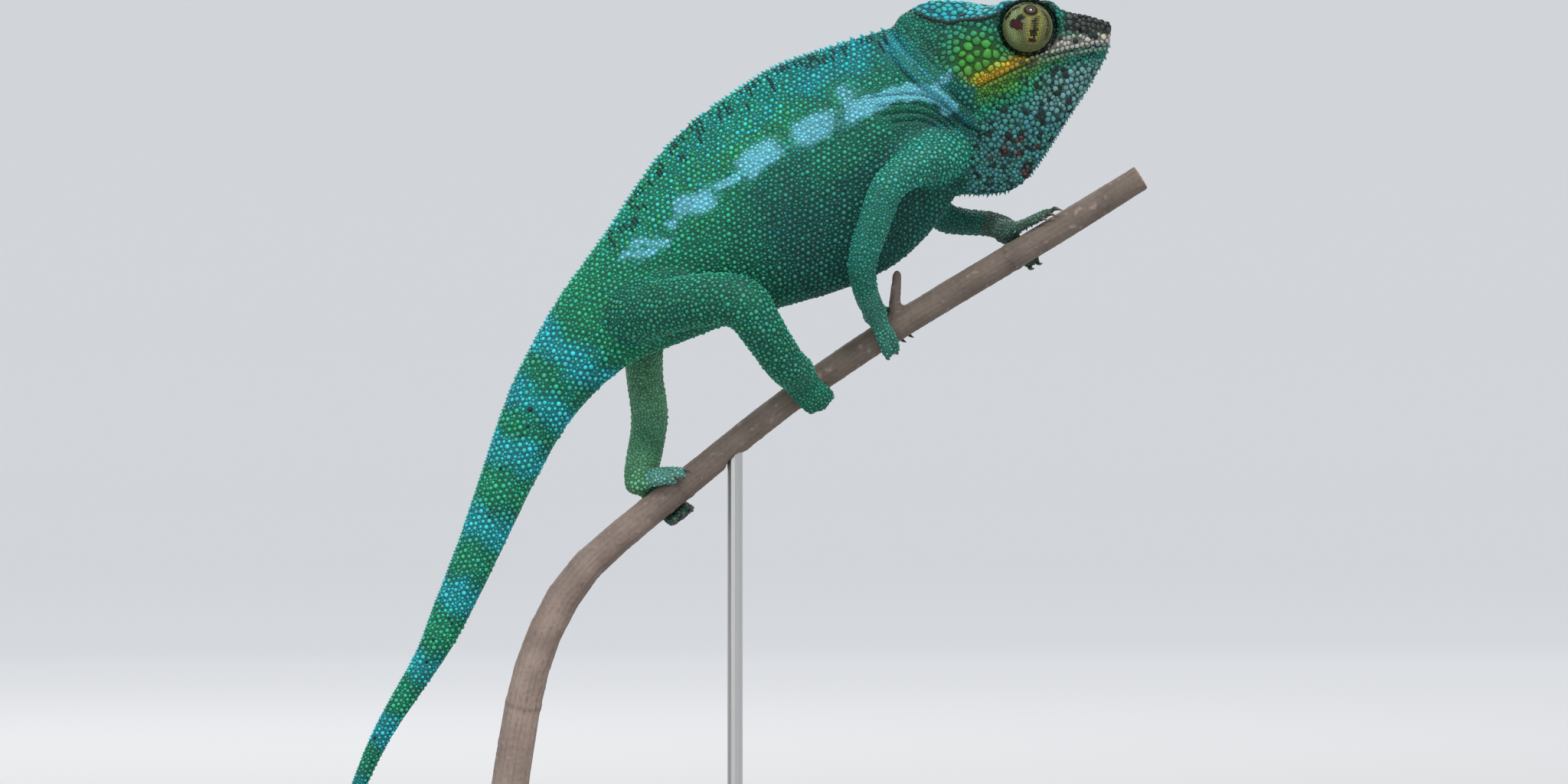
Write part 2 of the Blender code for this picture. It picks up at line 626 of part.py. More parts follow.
perch = branch_form("perch", 0.0)
boolean(perch, twig_form(0.0), "UNION")

rods = {}
for name, x in ROD_X.items():
    ends_in_cut = x < BRANCH[0][0] + 2.0
    under = BRANCH[0][1] if ends_in_cut else branch_at(x)[0].z - branch_at(x)[3]
    top = under + ROD_SINK * (1.0 if ends_in_cut else 0.55)
    length = top - BASE_THICK + ROD_SINK
    rod = bmesh.new()
    bmesh.ops.create_cone(
        rod, cap_ends=True, segments=12, radius1=ROD_RADIUS, radius2=ROD_RADIUS, depth=length
    )
    bmesh.ops.translate(rod, vec=Vector((x, 0.0, BASE_THICK - ROD_SINK + length / 2)), verts=rod.verts)
    rods[name] = new_object(name, rod)
    boolean(perch, inflated(rods[name], GAP, "rod_hole"), "DIFFERENCE")
finished(perch, "perch", "bark", rough=0.85)

base = bmesh.new()
bmesh.ops.create_cube(base, size=1.0)
bmesh.ops.scale(base, vec=Vector((BASE_LENGTH, BASE_DEPTH, BASE_THICK)), verts=base.verts)
bmesh.ops.translate(base, vec=Vector((0.0, 0.0, BASE_THICK / 2)), verts=base.verts)
uprights = [e for e in base.edges if abs(e.verts[0].co.z - e.verts[1].co.z) > 1.0]
bmesh.ops.bevel(base, geom=uprights, offset=BASE_CORNER, segments=5, profile=0.5, affect="EDGES")
rim = [e for e in base.edges if all(v.co.z > BASE_THICK - 0.01 for v in e.verts)]
bmesh.ops.bevel(base, geom=rim, offset=BASE_EDGE, segments=2, profile=0.5, affect="EDGES")
base = new_object("stand_base", base)
for name, rod in rods.items():
    boolean(base, inflated(rod, GAP, "rod_hole"), "DIFFERENCE")
    finished(rod, name, "steel", rough=0.3, metal=1.0)
finished(base, "stand_base", "wood", rough=0.4)
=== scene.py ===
"""A life-size male panther chameleon on a cut branch, held by a plain base and two rods.

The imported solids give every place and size; hide, scales, eyes, claws and bark are modelled over them.
"""

import math

import bmesh
import bpy
import numpy as np
from mathutils import Matrix, Vector
from mathutils.bvhtree import BVHTree
from mathutils.kdtree import KDTree


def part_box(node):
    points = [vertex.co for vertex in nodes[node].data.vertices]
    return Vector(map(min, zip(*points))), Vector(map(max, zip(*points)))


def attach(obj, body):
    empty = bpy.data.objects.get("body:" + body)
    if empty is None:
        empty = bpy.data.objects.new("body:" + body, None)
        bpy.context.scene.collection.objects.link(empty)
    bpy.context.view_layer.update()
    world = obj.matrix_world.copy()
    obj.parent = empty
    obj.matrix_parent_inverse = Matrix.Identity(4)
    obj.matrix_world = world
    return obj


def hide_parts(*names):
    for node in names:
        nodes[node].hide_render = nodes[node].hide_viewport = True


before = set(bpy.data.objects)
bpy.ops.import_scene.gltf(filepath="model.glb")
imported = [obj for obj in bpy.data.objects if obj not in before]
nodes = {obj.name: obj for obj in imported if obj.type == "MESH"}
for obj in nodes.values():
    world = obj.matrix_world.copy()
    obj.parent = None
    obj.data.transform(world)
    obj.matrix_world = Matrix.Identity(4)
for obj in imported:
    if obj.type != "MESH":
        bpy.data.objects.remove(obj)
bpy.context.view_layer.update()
MM = 0.001


# ---- Claws ----------------------------------------------------------------------------------------
# Twenty horn claws, one at each toe's tip, hooked in towards the bark. They are found on the toe
# solids, where each ends in a ring of five close points, and are remade as longer, smoother hooks.

CLAW_LENGTH, CLAW_RADIUS = 2.9, 0.85      # millimetres
CLAW_HOOK = 0.55                          # how far a claw turns in, as a share of its length
RING_GAP, TOE_STEP = 0.25, 1.3            # how close a ring's points lie, and how far it stands from the toe


def merged_copy(node):
    """A bmesh of a solid with its loose triangles sewn together, in millimetres."""
    bm = bmesh.new()
    bm.from_mesh(nodes[node].data)
    bmesh.ops.remove_doubles(bm, verts=bm.verts, dist=1e-6)
    bmesh.ops.scale(bm, vec=Vector((1 / MM,) * 3), verts=bm.verts)
    bm.verts.index_update()
    return bm


def middle_of(verts):
    """The average place of some vertices, added up in a fixed order so that every run agrees."""
    return sum((v.co for v in sorted(verts, key=lambda v: v.index)), Vector()) / len(verts)


def claw_ends(bm):
    """Pairs of the tip ring and the ring behind it, for each claw on a toe solid."""
    found, seen = [], set()
    for start in bm.verts:
        if start in seen:
            continue
        ring, queue = {start}, [start]
        while queue:
            for edge in queue.pop().link_edges:
                for v in edge.verts:
                    if v not in ring and edge.calc_length() < RING_GAP:
                        ring.add(v)
                        queue.append(v)
        seen |= ring
        behind = {e.other_vert(v) for v in ring for e in v.link_edges} - ring
        if len(ring) == 5 and (middle_of(ring) - middle_of(behind)).length > TOE_STEP:
            found.append((ring, behind))
    return found


perch_solid = merged_copy("perch")
perch_tree = BVHTree.FromBMesh(perch_solid)
toe_nodes = sorted(n for n in nodes if n.startswith("toes_"))
bare_toes, claw_frames = {}, []
for name in toe_nodes:
    toes = merged_copy(name)
    for ring, behind in claw_ends(toes):
        tip, mid = middle_of(ring), middle_of(behind)
        along = (tip - mid).normalized()
        inward = perch_tree.find_nearest(mid)[0] - mid
        inward = (inward - along * inward.dot(along)).normalized()
        lean = math.atan2(CLAW_HOOK * 0.75, 0.5)
        ahead = along * math.cos(lean) - inward * math.sin(lean)
        hook = along * math.sin(lean) + inward * math.cos(lean)
        root = mid - ahead * CLAW_LENGTH * 0.5 - hook * CLAW_LENGTH * CLAW_HOOK * 0.25
        claw_frames.append((root, ahead, hook))
        for v in ring | behind:
            if (v.co - root).length < CLAW_LENGTH * 1.3:
                v.co = root - ahead * 1.2
    bare_toes[name] = toes


# ---- The hide -------------------------------------------------------------------------------------
# One closed skin over head, neck, trunk, tail, limbs and toes. The solids are grown until they meet,
# fused, smoothed by their girth, drawn in by the depth of the scales, and then given folds and ridges.

HIDE_GRAIN = 0.6           # millimetres between points while the hide is worked
HIDE_TRIANGLES = 188000    # the finished hide
GROWTH, DRAWN_IN = 0.26, 0.16              # how far the solids grow to meet, and how far the hide goes back
SCALE_DEPTH = 0.30         # how far the hide lies inside the solids


def mesh_of(name, bm):
    """The mesh of a bmesh, which is then let go."""
    mesh = bpy.data.meshes.new(name)
    bm.to_mesh(mesh)
    bm.free()
    return mesh


def placed(name, data):
    """A new object in the scene."""
    obj = bpy.data.objects.new(name, data)
    bpy.context.collection.objects.link(obj)
    return obj


flesh = sorted(n for n in nodes if not n.startswith(("stand_", "eye", "perch")))
hide_form = bmesh.new()
for name in flesh:
    solid = bare_toes.get(name) or merged_copy(name)
    solid.normal_update()
    for v in solid.verts:
        v.co += v.normal * GROWTH
    hide_form.from_mesh(mesh_of(name, solid))
hide = placed("hide", mesh_of("hide", hide_form))


def with_modifier(obj, kind, **settings):
    """Apply one modifier to an object's mesh."""
    modifier = obj.modifiers.new(kind.lower(), kind)
    for key, value in settings.items():
        setattr(modifier, key, value)
    graph = bpy.context.evaluated_depsgraph_get()
    obj.data = bpy.data.meshes.new_from_object(obj.evaluated_get(graph))
    obj.modifiers.clear()


def array_of(items, key, width=3, kind=float):
    """One property of many mesh items, as an array."""
    values = np.empty(len(items) * width, kind)
    items.foreach_get(key, values)
    return values.reshape(-1, width) if width > 1 else values


def points_and_edges(obj):
    """An object's points, its edges, and how many edges each point has."""
    pairs = array_of(obj.data.edges, "vertices", 2, int)
    return array_of(obj.data.vertices, "co"), pairs, np.bincount(pairs.ravel())


with_modifier(hide, "REMESH", mode="VOXEL", voxel_size=HIDE_GRAIN)
place, edges, neighbours = points_and_edges(hide)


def evened(values, rounds, share=0.5):
    """Draw each point's value towards its neighbours' average, some number of times."""
    values = values.reshape(len(place), -1).astype(float)
    a, b = edges.T
    count = len(place)
    pull = (np.zeros(count) + share)[:, None]
    for _ in range(rounds):
        sums = [np.bincount(a, lane[b], count) + np.bincount(b, lane[a], count) for lane in values.T]
        values += (np.stack(sums, 1) / neighbours[:, None] - values) * pull
    return values


# Which solid each point of the hide lies on
corners, faces, owner = [], [], []
for index, name in enumerate(flesh):
    mesh = nodes[name].data
    start = len(corners)
    corners += [v.co / MM for v in mesh.vertices]
    faces += [[start + k for k in p.vertices] for p in mesh.polygons]
    owner += [index] * len(mesh.polygons)
solid_tree = BVHTree.FromPolygons(corners, faces)
lies_on = np.array([owner[solid_tree.find_nearest(Vector(p))[2]] for p in place])


def share_of(*starts):
    """1 on the solids whose names start so, 0 elsewhere, with a soft edge."""
    picked = [k for k, name in enumerate(flesh) if name.startswith(starts)]
    return evened(np.isin(lies_on, picked), 8)[:, 0]


# How hard each region is smoothed: thick forms much, thin ones little
SMOOTHING = {
    "trunk": 1.0, "neck": 1.0, "lower_jaw": 0.8, "head": 0.6, "tail_1": 0.7, "tail_2": 0.5, "tail_3": 0.35,
    "tail_": 0.2, "thigh": 0.5, "shank": 0.4, "upper_arm": 0.4, "forearm": 0.3, "hand": 0.25, "foot": 0.25,
    "toes_inner_foot_right": 0.4, "toes_outer_foot_right": 0.4, "toes": 0.1,
}
softness = np.array([next(v for k, v in SMOOTHING.items() if name.startswith(k)) for name in flesh])[lies_on]
softness = evened(softness, 12)[:, 0]
place = evened(place, 55, softness * 0.6)
limb_share = evened(share_of("thigh", "upper_arm"), 40)[:, 0]
body_share = evened(share_of("trunk", "neck", "tail"), 40)[:, 0]
place = evened(place, 90, np.clip(limb_share * body_share * 5, 0, 1) * 0.9)


def settle():
    """Give the hide its points and return the direction each one faces."""
    hide.data.vertices.foreach_set("co", place.ravel())
    hide.data.update()
    return array_of(hide.data.vertex_normals, "vector")


outward = settle()
place = place - outward * (DRAWN_IN + SCALE_DEPTH)
outward = settle()

# Where each point lies on the animal: how far along the back from the nape, and how high across it
BACK_LINE = [
    # x, z, half depth and half width of the body, from the hanging tail up to the nape
    (-127.7, 75.0, 2.8, 2.6), (-119.4, 92.9, 3.6, 3.2), (-105.4, 115.6, 4.9, 4.4), (-99.7, 127.0, 6.1, 5.2),
    (-89.1, 151.0, 7.4, 6.3), (-78.1, 178.0, 9.2, 7.8), (-66.9, 202.0, 11.9, 9.4), (-50.4, 223.7, 16.5, 11.2),
    (-31.0, 239.7, 23.7, 13.6), (-4.8, 259.9, 34.2, 15.2), (22.6, 274.2, 38.6, 15.8),
    (36.2, 282.7, 36.8, 15.0), (51.5, 293.2, 30.8, 13.0), (62.0, 297.0, 26.5, 11.6),
    (72.0, 299.0, 19.0, 10.0),
]
COIL_TURN, COIL_LENGTH, COIL_STEPS = 320.0, 128.0, 25     # degrees, millimetres, rows
TIP_RADIUS = 0.75


def tail_coil():
    """Rows that carry the back line on to the tail's coiled tip, tip first."""
    x, z, depth, width = BACK_LINE[0]
    heading = math.atan2(z - BACK_LINE[1][1], x - BACK_LINE[1][0])
    step = COIL_LENGTH / COIL_STEPS
    rows = []
    for k in range(1, COIL_STEPS + 1):
        f = k / COIL_STEPS
        heading += math.radians(COIL_TURN) * (0.25 + 1.5 * f) / COIL_STEPS
        x += step * math.cos(heading)
        z += step * math.sin(heading)
        taper = (1.0 - f) ** 0.85
        rows.append((x, z, *(TIP_RADIUS + (size - TIP_RADIUS) * taper for size in (depth, width))))
    return rows[::-1]


def curve_through(rows, count):
    """A smooth curve through rows of numbers, at evenly spaced shares of its length."""
    rows = np.array(rows, float)
    padded = np.vstack([2 * rows[0] - rows[1], rows, 2 * rows[-1] - rows[-2]])
    at = np.linspace(0, len(rows) - 1, count)
    i = np.minimum(at.astype(int), len(rows) - 2)
    u = (at - i)[:, None]
    a, b, c, d = (padded[i + k] for k in range(4))
    bend, twist = 2 * a - 5 * b + 4 * c - d, 3 * b - a - 3 * c + d
    return 0.5 * (2 * b + (c - a) * u + bend * u ** 2 + twist * u ** 3)


def length_along(line):
    """How far along a line of (x, z, ...) rows each row lies."""
    return np.concatenate([[0.0], np.cumsum(np.hypot(*np.diff(line[:, :2], axis=0).T))])


back_line = np.vstack([tail_coil(), curve_through(BACK_LINE, 60)])[::-1]
back_length = length_along(back_line)


def on_line(points, line):
    """For (x, z) points: distance from a line, the side it is on, and how many of its rows along it is."""
    nearest = np.full(len(points), 1e9)
    side, along = np.zeros(len(points)), np.zeros(len(points))
    for k, (a, b) in enumerate(zip(line, line[1:])):
        run = np.array(b[:2]) - np.array(a[:2])
        gap = points - np.array(a[:2])
        t = np.clip(gap @ run / (run @ run), 0, 1)
        away = gap - t[:, None] * run
        distance = np.hypot(away[:, 0], away[:, 1])
        closer = distance < nearest
        nearest = np.where(closer, distance, nearest)
        side = np.where(closer, np.sign(gap[:, 1] * run[0] - gap[:, 0] * run[1]), side)
        along = np.where(closer, k + t, along)
    return nearest, side, along


def at_row(values):
    """A line's own values, at the row that each point lies beside."""
    return np.interp(row, np.arange(len(values)), values)


x, y, z = place.T
flat = place[:, [0, 2]]
offset, side, row = on_line(flat, back_line)
behind_nape, half_depth, half_width = at_row(back_length), at_row(back_line[:, 2]), at_row(back_line[:, 3])
rise = np.clip(-side * offset / half_depth, -1.2, 1.2)      # 1 on the crest of the back, -1 under the belly

on_head, on_neck = share_of("head", "lower_jaw"), share_of("neck")
on_trunk, on_tail = share_of("trunk"), share_of("tail")
on_limbs = share_of("thigh", "shank", "upper", "forearm", "hand", "foot", "toes")
on_toes, on_feet = share_of("toes"), share_of("hand", "foot")
flank = np.clip((np.abs(y) - 2.0) / 3.0, 0, 1)              # 0 along the middle line, 1 on both sides


def hump(distance, width):
    """1 at no distance, falling off smoothly over a width."""
    return np.exp(-((distance / width) ** 2))


def off_line(*line):
    """Distance in the side view from a curve through (x, z) points, on both flanks."""
    return on_line(flat, curve_through(line, 2 * len(line) + 1))[0]


def from_spot(cx, cz):
    """Distance in the side view from one place."""
    return np.hypot(x - cx, z - cz)


def mottle(points, lump, seed=0):
    """Soft noise from 0 to 1, with lumps of about a given size in millimetres."""
    chance = np.random.default_rng(11 + seed).random(4096)
    spot = points / lump + 31.7
    cell = np.floor(spot).astype(np.int64)
    f = spot - cell
    f = f * f * (3 - 2 * f)
    total = np.zeros(len(points))
    for corner in range(8):
        step = np.array([corner & 1, corner >> 1 & 1, corner >> 2 & 1])
        key = ((cell + step) * np.array([73856093, 19349663, 83492791])).sum(1) & 4095
        total += chance[key] * np.where(step, f, 1 - f).prod(1)
    return total


# Folds and ridges, in millimetres of height
EYE_X, EYE_OUT, EYE_Z = 90.0, 11.6, 321.4      # an eye's centre: EYE_OUT is from the middle plane
EDGE_X, EDGE_Z = (51, 55, 59, 64, 70, 76, 81), (328, 325.6, 323.8, 322.5, 323.4, 323.6, 325.2)
MOUTH_X, MOUTH_Z = (73.8, 79, 85, 91, 98.8, 108, 117.5), (301.6, 304.4, 307.2, 310.2, 312.7, 314.8, 316.4)
SHOULDER_CREASES = [
    ((39, 298.6), (47, 299.6), (56, 299.2), (63, 296.0), (69, 291.4)),
    ((41, 295.6), (48, 296.6), (55, 296.4), (61, 293.6), (67, 288.6)),
    ((43, 293.0), (50, 293.8), (56.5, 293.2), (62, 290.4), (66, 287.0)),
    ((46, 290.4), (52, 291.2), (58, 290.4), (62.5, 287.6)),
    ((58, 296.8), (63, 294.0), (70, 289.6), (77, 286.4)),
]
NECK_LINES = [
    ((37.6, 322.0), (44.0, 315.6), (50.5, 308.2), (57.0, 302.2), (63.0, 297.4), (69.0, 292.2), (77.0, 287.0)),
    ((41.5, 321.6), (46.5, 317.0), (53.0, 310.0), (59.0, 304.6), (64.0, 301.4)),
]
TEMPLE_FOLDS = [
    ((50.5, 321.5), (53.5, 316.5), (57.0, 312.0), (61.0, 308.0)),
    ((54.5, 320.0), (57.5, 315.5), (60.5, 312.0), (63.6, 309.4)),
    ((47.5, 319.0), (51.0, 314.0), (55.0, 309.2), (59.0, 305.4)),
]
head_side = on_head * flank
casque_edge, mouth = off_line(*zip(EDGE_X, EDGE_Z)), off_line(*zip(MOUTH_X, MOUTH_Z))
over_mouth = z - np.interp(x, MOUTH_X, MOUTH_Z)
jaw_fold = off_line(
    (44.5, 319), (48.5, 312.2), (53, 306.6), (58.5, 302.4), (63.5, 298.8), (69, 294.0), (76, 289.2)
)
jaw_patch = off_line((56, 307.5), (61, 304.6), (64.5, 303.4), (66.2, 307), (69, 311.5))
nostril = from_spot(107.2, 320.0)
eye_ring = np.sqrt((x - EYE_X) ** 2 + (np.abs(y) - EYE_OUT) ** 2 + (z - EYE_Z) ** 2)
near_neck = np.clip(on_head + on_neck + on_trunk, 0, 1) * flank
height = (
    0.9 * hump(casque_edge, 1.1) * head_side
    - 0.8 * hump(from_spot(58, 314), 6.0) * head_side
    + 0.9 * hump(from_spot(73, 311), 7.0) * head_side
    - 0.75 * hump(mouth, 0.55) * head_side
    + 0.45 * hump(over_mouth - 1.7, 1.1) * hump(mouth, 3.0) * head_side
    + 0.40 * hump(over_mouth + 1.8, 1.1) * hump(mouth, 3.0) * head_side
    - 0.9 * hump(eye_ring - 9.2, 0.7) * head_side
    + 0.8 * hump(eye_ring - 10.8, 1.0) * head_side
    - 1.1 * hump(nostril, 0.75) * head_side
    + 0.35 * hump(nostril - 1.5, 0.5) * head_side
    + 1.0 * hump(jaw_fold, 1.2) * near_neck
    - 0.6 * hump(jaw_fold - 2.1, 0.7) * near_neck
    + 0.7 * hump(jaw_patch, 1.6) * near_neck
)
for lines, lift, width in (
    (NECK_LINES, 0.55, 0.8), (TEMPLE_FOLDS, -0.5, 0.45), (SHOULDER_CREASES, -0.8, 0.5),
):
    for line in lines:
        height += lift * hump(off_line(*line), width) * near_neck
height += 1.7 * hump(from_spot(23.0, 199.4), 3.6) * share_of("toes", "foot_right") * (y < 0)
pleat = mottle(place, 7.0) * 2.5
height += 0.13 * np.sin(z / 0.36 + pleat) * share_of("shank_left")
height += 0.12 * np.sin(x / 0.38 + pleat) * share_of("forearm_left")
pleats = 0.14 * np.sin((z + 0.25 * x) / 0.34 + pleat) * share_of("forearm_right")
height += pleats * np.clip((259 - z) / 12, 0, 1)
throat = share_of("lower_jaw") * np.clip(-over_mouth / 4 - 0.8, 0, 1)
height += 0.16 * np.sin((x * 0.77 + z * 0.64) / 0.36 + pleat) * throat
belly = on_trunk * np.clip(-rise - 0.05, 0, 0.5) * 2 * flank
height += 0.12 * np.sin((x * 0.86 + z * 0.5) / 0.42 + pleat) * belly
place = place + outward * height[:, None]
outward = settle()


# Markings: each is a colour and how much of it shows at every point of the hide

def dye(red, green, blue):
    """A linear colour from the usual 0 to 255 numbers."""
    return (np.array([red, green, blue]) / 255) ** 2.2


TEAL, DEEP_TEAL, SEA_GREEN = dye(22, 116, 103), dye(18, 92, 84), dye(24, 128, 98)
BACK_BLUE, TAIL_CYAN, PALE_BLUE = dye(16, 140, 146), dye(36, 156, 162), dye(102, 184, 200)
CHEEK_GREEN, LIP_ORANGE, LIP_PALE = dye(52, 122, 46), dye(182, 150, 30), dye(158, 156, 146)
CASQUE_CYAN, SNOUT_GREY, THROAT_TEAL = dye(30, 142, 150), dye(56, 60, 57), dye(58, 122, 120)
THROAT_DARK, LEG_GREEN, PALE_LEG = dye(20, 40, 38), dye(28, 114, 92), dye(66, 138, 122)
TEMPLE_GREEN, TOE_BLUE, RUDDY = dye(28, 120, 102), dye(108, 168, 156), dye(74, 34, 38)
LEAF_GREEN, LIP_YELLOW, LIP_GREEN = dye(44, 138, 74), dye(138, 150, 36), dye(70, 126, 40)
THROAT_GREY, NECK_CYAN, STRIPE_CYAN = dye(106, 146, 142), dye(60, 158, 172), dye(28, 154, 152)

tone = np.tile(TEAL, (len(place), 1))


def paint(colour, share):
    tone[:] += (colour - tone) * np.clip(share, 0, 1)[:, None]


def band(value, low, high, soft):
    """1 between two values, fading over a distance outside them."""
    return np.clip((value - low) / soft + 1, 0, 1) * np.clip((high - value) / soft + 1, 0, 1)


def streak(line, width, ragged=0.35, seed=0):
    """A blotch along a line, with a ragged edge."""
    wobble = (mottle(place, width * 0.5 + 0.8, seed) - 0.5) * 2 * ragged * width
    return np.clip((width - off_line(*line) + wobble) / (0.3 * width), 0, 1)


body = np.clip(on_trunk + on_neck + on_tail, 0, 1)
paint(DEEP_TEAL, body * band(rise, -2.0, -0.05, 0.5) * band(behind_nape, -20, 118, 25) * 0.9)
paint(SEA_GREEN, body * band(rise, 0.1, 0.55, 0.3) * mottle(place, 11, 1) * 1.2)
paint(LEAF_GREEN, body * band(rise, 0.45, 0.8, 0.2) * band(behind_nape, 62, 120, 18) * mottle(place, 6, 7))
back = body * band(rise, 0.78, 2.0, 0.3) * band(behind_nape, -20, 112, 25)
paint(BACK_BLUE, back * mottle(place, 5, 8) * 1.8)
paint(SEA_GREEN, body * band(behind_nape, 98, 140, 22) * 0.8)
across_back = np.sin((z - 0.12 * x) / 0.32 + mottle(place, 6, 9) * 5)
rear_back = body * band(rise, 0.5, 2.0, 0.3) * band(behind_nape, 58, 122, 14)
paint(STRIPE_CYAN, rear_back * np.clip(across_back * 1.6, 0, 1) * 0.75)
paint(LEAF_GREEN, rear_back * np.clip(-across_back * 1.6, 0, 1) * 0.6)

TAIL_BANDS = (157.5, 176.0, 194.0, 219.5, 243.5, 270.0, 294.0, 317.0, 338.0, 358.0, 377.0, 395.0, 412.0)
for middle in TAIL_BANDS:
    wave = (mottle(place, 5.0, 2) - 0.5) * 6.0
    paint(TAIL_CYAN, body * np.clip(1.5 - np.abs(behind_nape + wave - middle) / 4.6, 0, 1) * 0.95)
between = np.clip(np.min([np.abs(behind_nape - m) for m in TAIL_BANDS], axis=0) / 9.0 - 0.5, 0, 1)
paint(dye(36, 150, 108), body * between * band(behind_nape, 150, 500, 25) * 0.85)

# Pale blue blotches along the flank, and the line that joins the first to the neck
pale = np.zeros(len(place))
for width, line in (
    (3.2, ((42.0, 297.8), (47.0, 299.6), (54.8, 300.6), (60.5, 299.0), (64.5, 295.6))),
    (3.4, ((33.0, 293.4), (35.6, 294.8), (40.0, 297.2))),
    (2.0, ((29.8, 301.4), (31.0, 298.4), (33.4, 295.6))),
    (4.7, ((18.0, 287.2), (20.9, 288.4), (23.8, 289.8))),
    (4.3, ((-0.6, 276.6), (2.6, 278.2), (7.0, 281.2))),
    (1.5, ((-10.6, 269.9), (-7.6, 271.0), (-4.4, 272.8))),
    (3.6, ((-22.6, 263.4), (-18.4, 264.4), (-14.6, 265.4))),
    (1.7, ((-25.9, 257.2), (-25.2, 257.5))),
    (1.3, ((-41.0, 247.6), (-36.0, 247.8), (-31.0, 248.4))),
    (1.3, ((-38.0, 251.2), (-34.0, 251.8), (-27.0, 251.4))),
):
    pale = np.maximum(pale, streak(line, width) * flank * body)
paint(PALE_BLUE, pale)
for line in NECK_LINES:
    paint(NECK_CYAN, hump(off_line(*line), 1.0) * near_neck * 0.62)
paint(PALE_BLUE * 0.8, streak(((60.6, 303.0), (63.4, 304.2), (65.6, 307.0)), 1.5) * near_neck)
paint(TAIL_CYAN, streak(((58, 287), (63, 288.4), (67, 286.6)), 1.8) * near_neck * 0.5)

# The head: bright green cheek, cyan casque over its dark edge, orange lip, grey snout, spotted throat
paint(TEMPLE_GREEN, head_side * band(x, 48, 110, 4) * (1 - near_neck * hump(jaw_patch, 2.4)))
paint(THROAT_TEAL, throat)
paint(SEA_GREEN, head_side * band(x, 66, 96, 5) * band(over_mouth, -9, -1, 4))
cheek = head_side * hump(np.hypot((x - 74.0) / 1.2, z - 311.0), 8.0) * 1.4 * band(over_mouth, 0.5, 30, 1)
paint(CHEEK_GREEN, cheek)
lip_line = off_line((71, 303.0), (77, 304.8), (84, 308.4), (91, 311.6))
for colour, from_it, width, share in (
    (CHEEK_GREEN, off_line((68, 301.0), (75, 300.4), (84, 303)), 3.6, 0.8),
    (CHEEK_GREEN, off_line((90, 307.6), (95, 310.0), (101, 311.6)), 2.0, 0.6),
    (LIP_YELLOW, lip_line, 2.9, 0.9),
    (LIP_GREEN, off_line((72, 300.0), (80, 302.6), (90, 307.4)), 3.4, 0.7),
    (LIP_ORANGE, off_line((74.5, 304.0), (79, 305.9), (84, 308.9), (88.5, 311.3)), 1.4, 1.4),
):
    paint(colour, hump(from_it, width) * head_side * share)
paint(THROAT_GREY, throat * band(x, 98, 125, 8) * band(over_mouth, -16, 0, 6) * 0.6)
front_lip = off_line((95, 314.4), (103, 316.6), (111, 317.6), (117, 318.4))
front = np.clip(flank + band(x, 112, 140, 3), 0, 1)
paint(LIP_PALE, hump(front_lip, 2.3) * on_head * front * 1.1)
above_edge = np.clip((z - np.interp(x, EDGE_X, EDGE_Z)) / 1.5, 0, 1)
casque = on_head * above_edge * band(x, 44, 86, 3)
paint(CASQUE_CYAN, casque)
paint(THROAT_DARK, hump(casque_edge, 0.9) * head_side * 0.9)
paint(SNOUT_GREY, on_head * band(x, 104, 130, 4) * band(z, 320.4, 340, 1.5))
# A dark ring round each eye turret's socket: partly the skin's own dark colour, partly painted shade in the
# groove round the turret.
paint(THROAT_DARK, hump(eye_ring - 9.3, 0.9) * head_side * 0.95)
for cx, cz, spot in (
    (83.8, 286.0, 1.5), (87.0, 284.8, 1.2), (88.8, 286.0, 1.0), (82.5, 281.2, 1.8), (87.5, 281.0, 1.5),
    (90, 275, 1.9), (78.5, 279.0, 1.1), (93.5, 283.0, 0.9),
):
    paint(RUDDY, np.clip(2.0 - from_spot(cx, cz) / spot - mottle(place, 1.2, 3), 0, 1) * throat * 0.9)

# Limbs: green, paler and duller on the left ones and towards the toes; the left hind shank is made paler
# partly as painted light, to lift it where it lies in shade
paint(LEG_GREEN, on_limbs * (1 - 0.6 * np.clip(body_share * 3, 0, 1)))


def paint_part(colour, share, fade, *parts):
    """Paint some of the solids' ground, fading over a number of points."""
    paint(colour, evened(share_of(*parts), fade)[:, 0] * share)


# The left shank's pale green is partly its own colour and partly painted light, made paler to lift it out of
# the shade it lies in.
paint_part(dye(112, 176, 136), 0.95, 260, "shank_left")
paint_part(dye(58, 126, 118), 0.9, 160, "forearm_left")
paint_part(dye(42, 134, 119), 0.8, 60, "upper_arm", "forearm_right")
paint_part(PALE_LEG, 0.8, 0, "hand_right", "toes_inner_hand_right", "toes_outer_hand_right")
paint_part(dye(72, 100, 88), 0.9, 0, "hand_left", "toes_inner_hand_left", "toes_outer_hand_left")
paint(dye(96, 158, 116), share_of("shank_left", "foot_left") * np.clip((196 - z) / 14, 0, 1) * 0.8)
paint_part(TOE_BLUE, 0.75, 0, "toes_inner_foot_left")
paint_part(SNOUT_GREY, 0.6, 0, "toes_outer_foot_left")

# Slow changes of tone all over, and a shaded look in the pits of folds
tone *= (0.84 + 0.32 * mottle(place, 4.5, 5))[:, None]
tone *= np.clip(1.0 + np.minimum(height, 0) * 0.45, 0.5, 1.0)[:, None]


# ---- Scales ---------------------------------------------------------------------------------------
# Every scale is a small solid plate, bead or cone of its own, rooted in the hide. Round tubercles stand
# in rows over body, tail and limbs, with granules packed between; head, lips and crests have larger ones.

rng = np.random.default_rng(5)
hide.data.calc_loop_triangles()
triangles = array_of(hide.data.loop_triangles, "vertices", 3, int)
hide_tree = BVHTree.FromPolygons(place.tolist(), triangles.tolist())

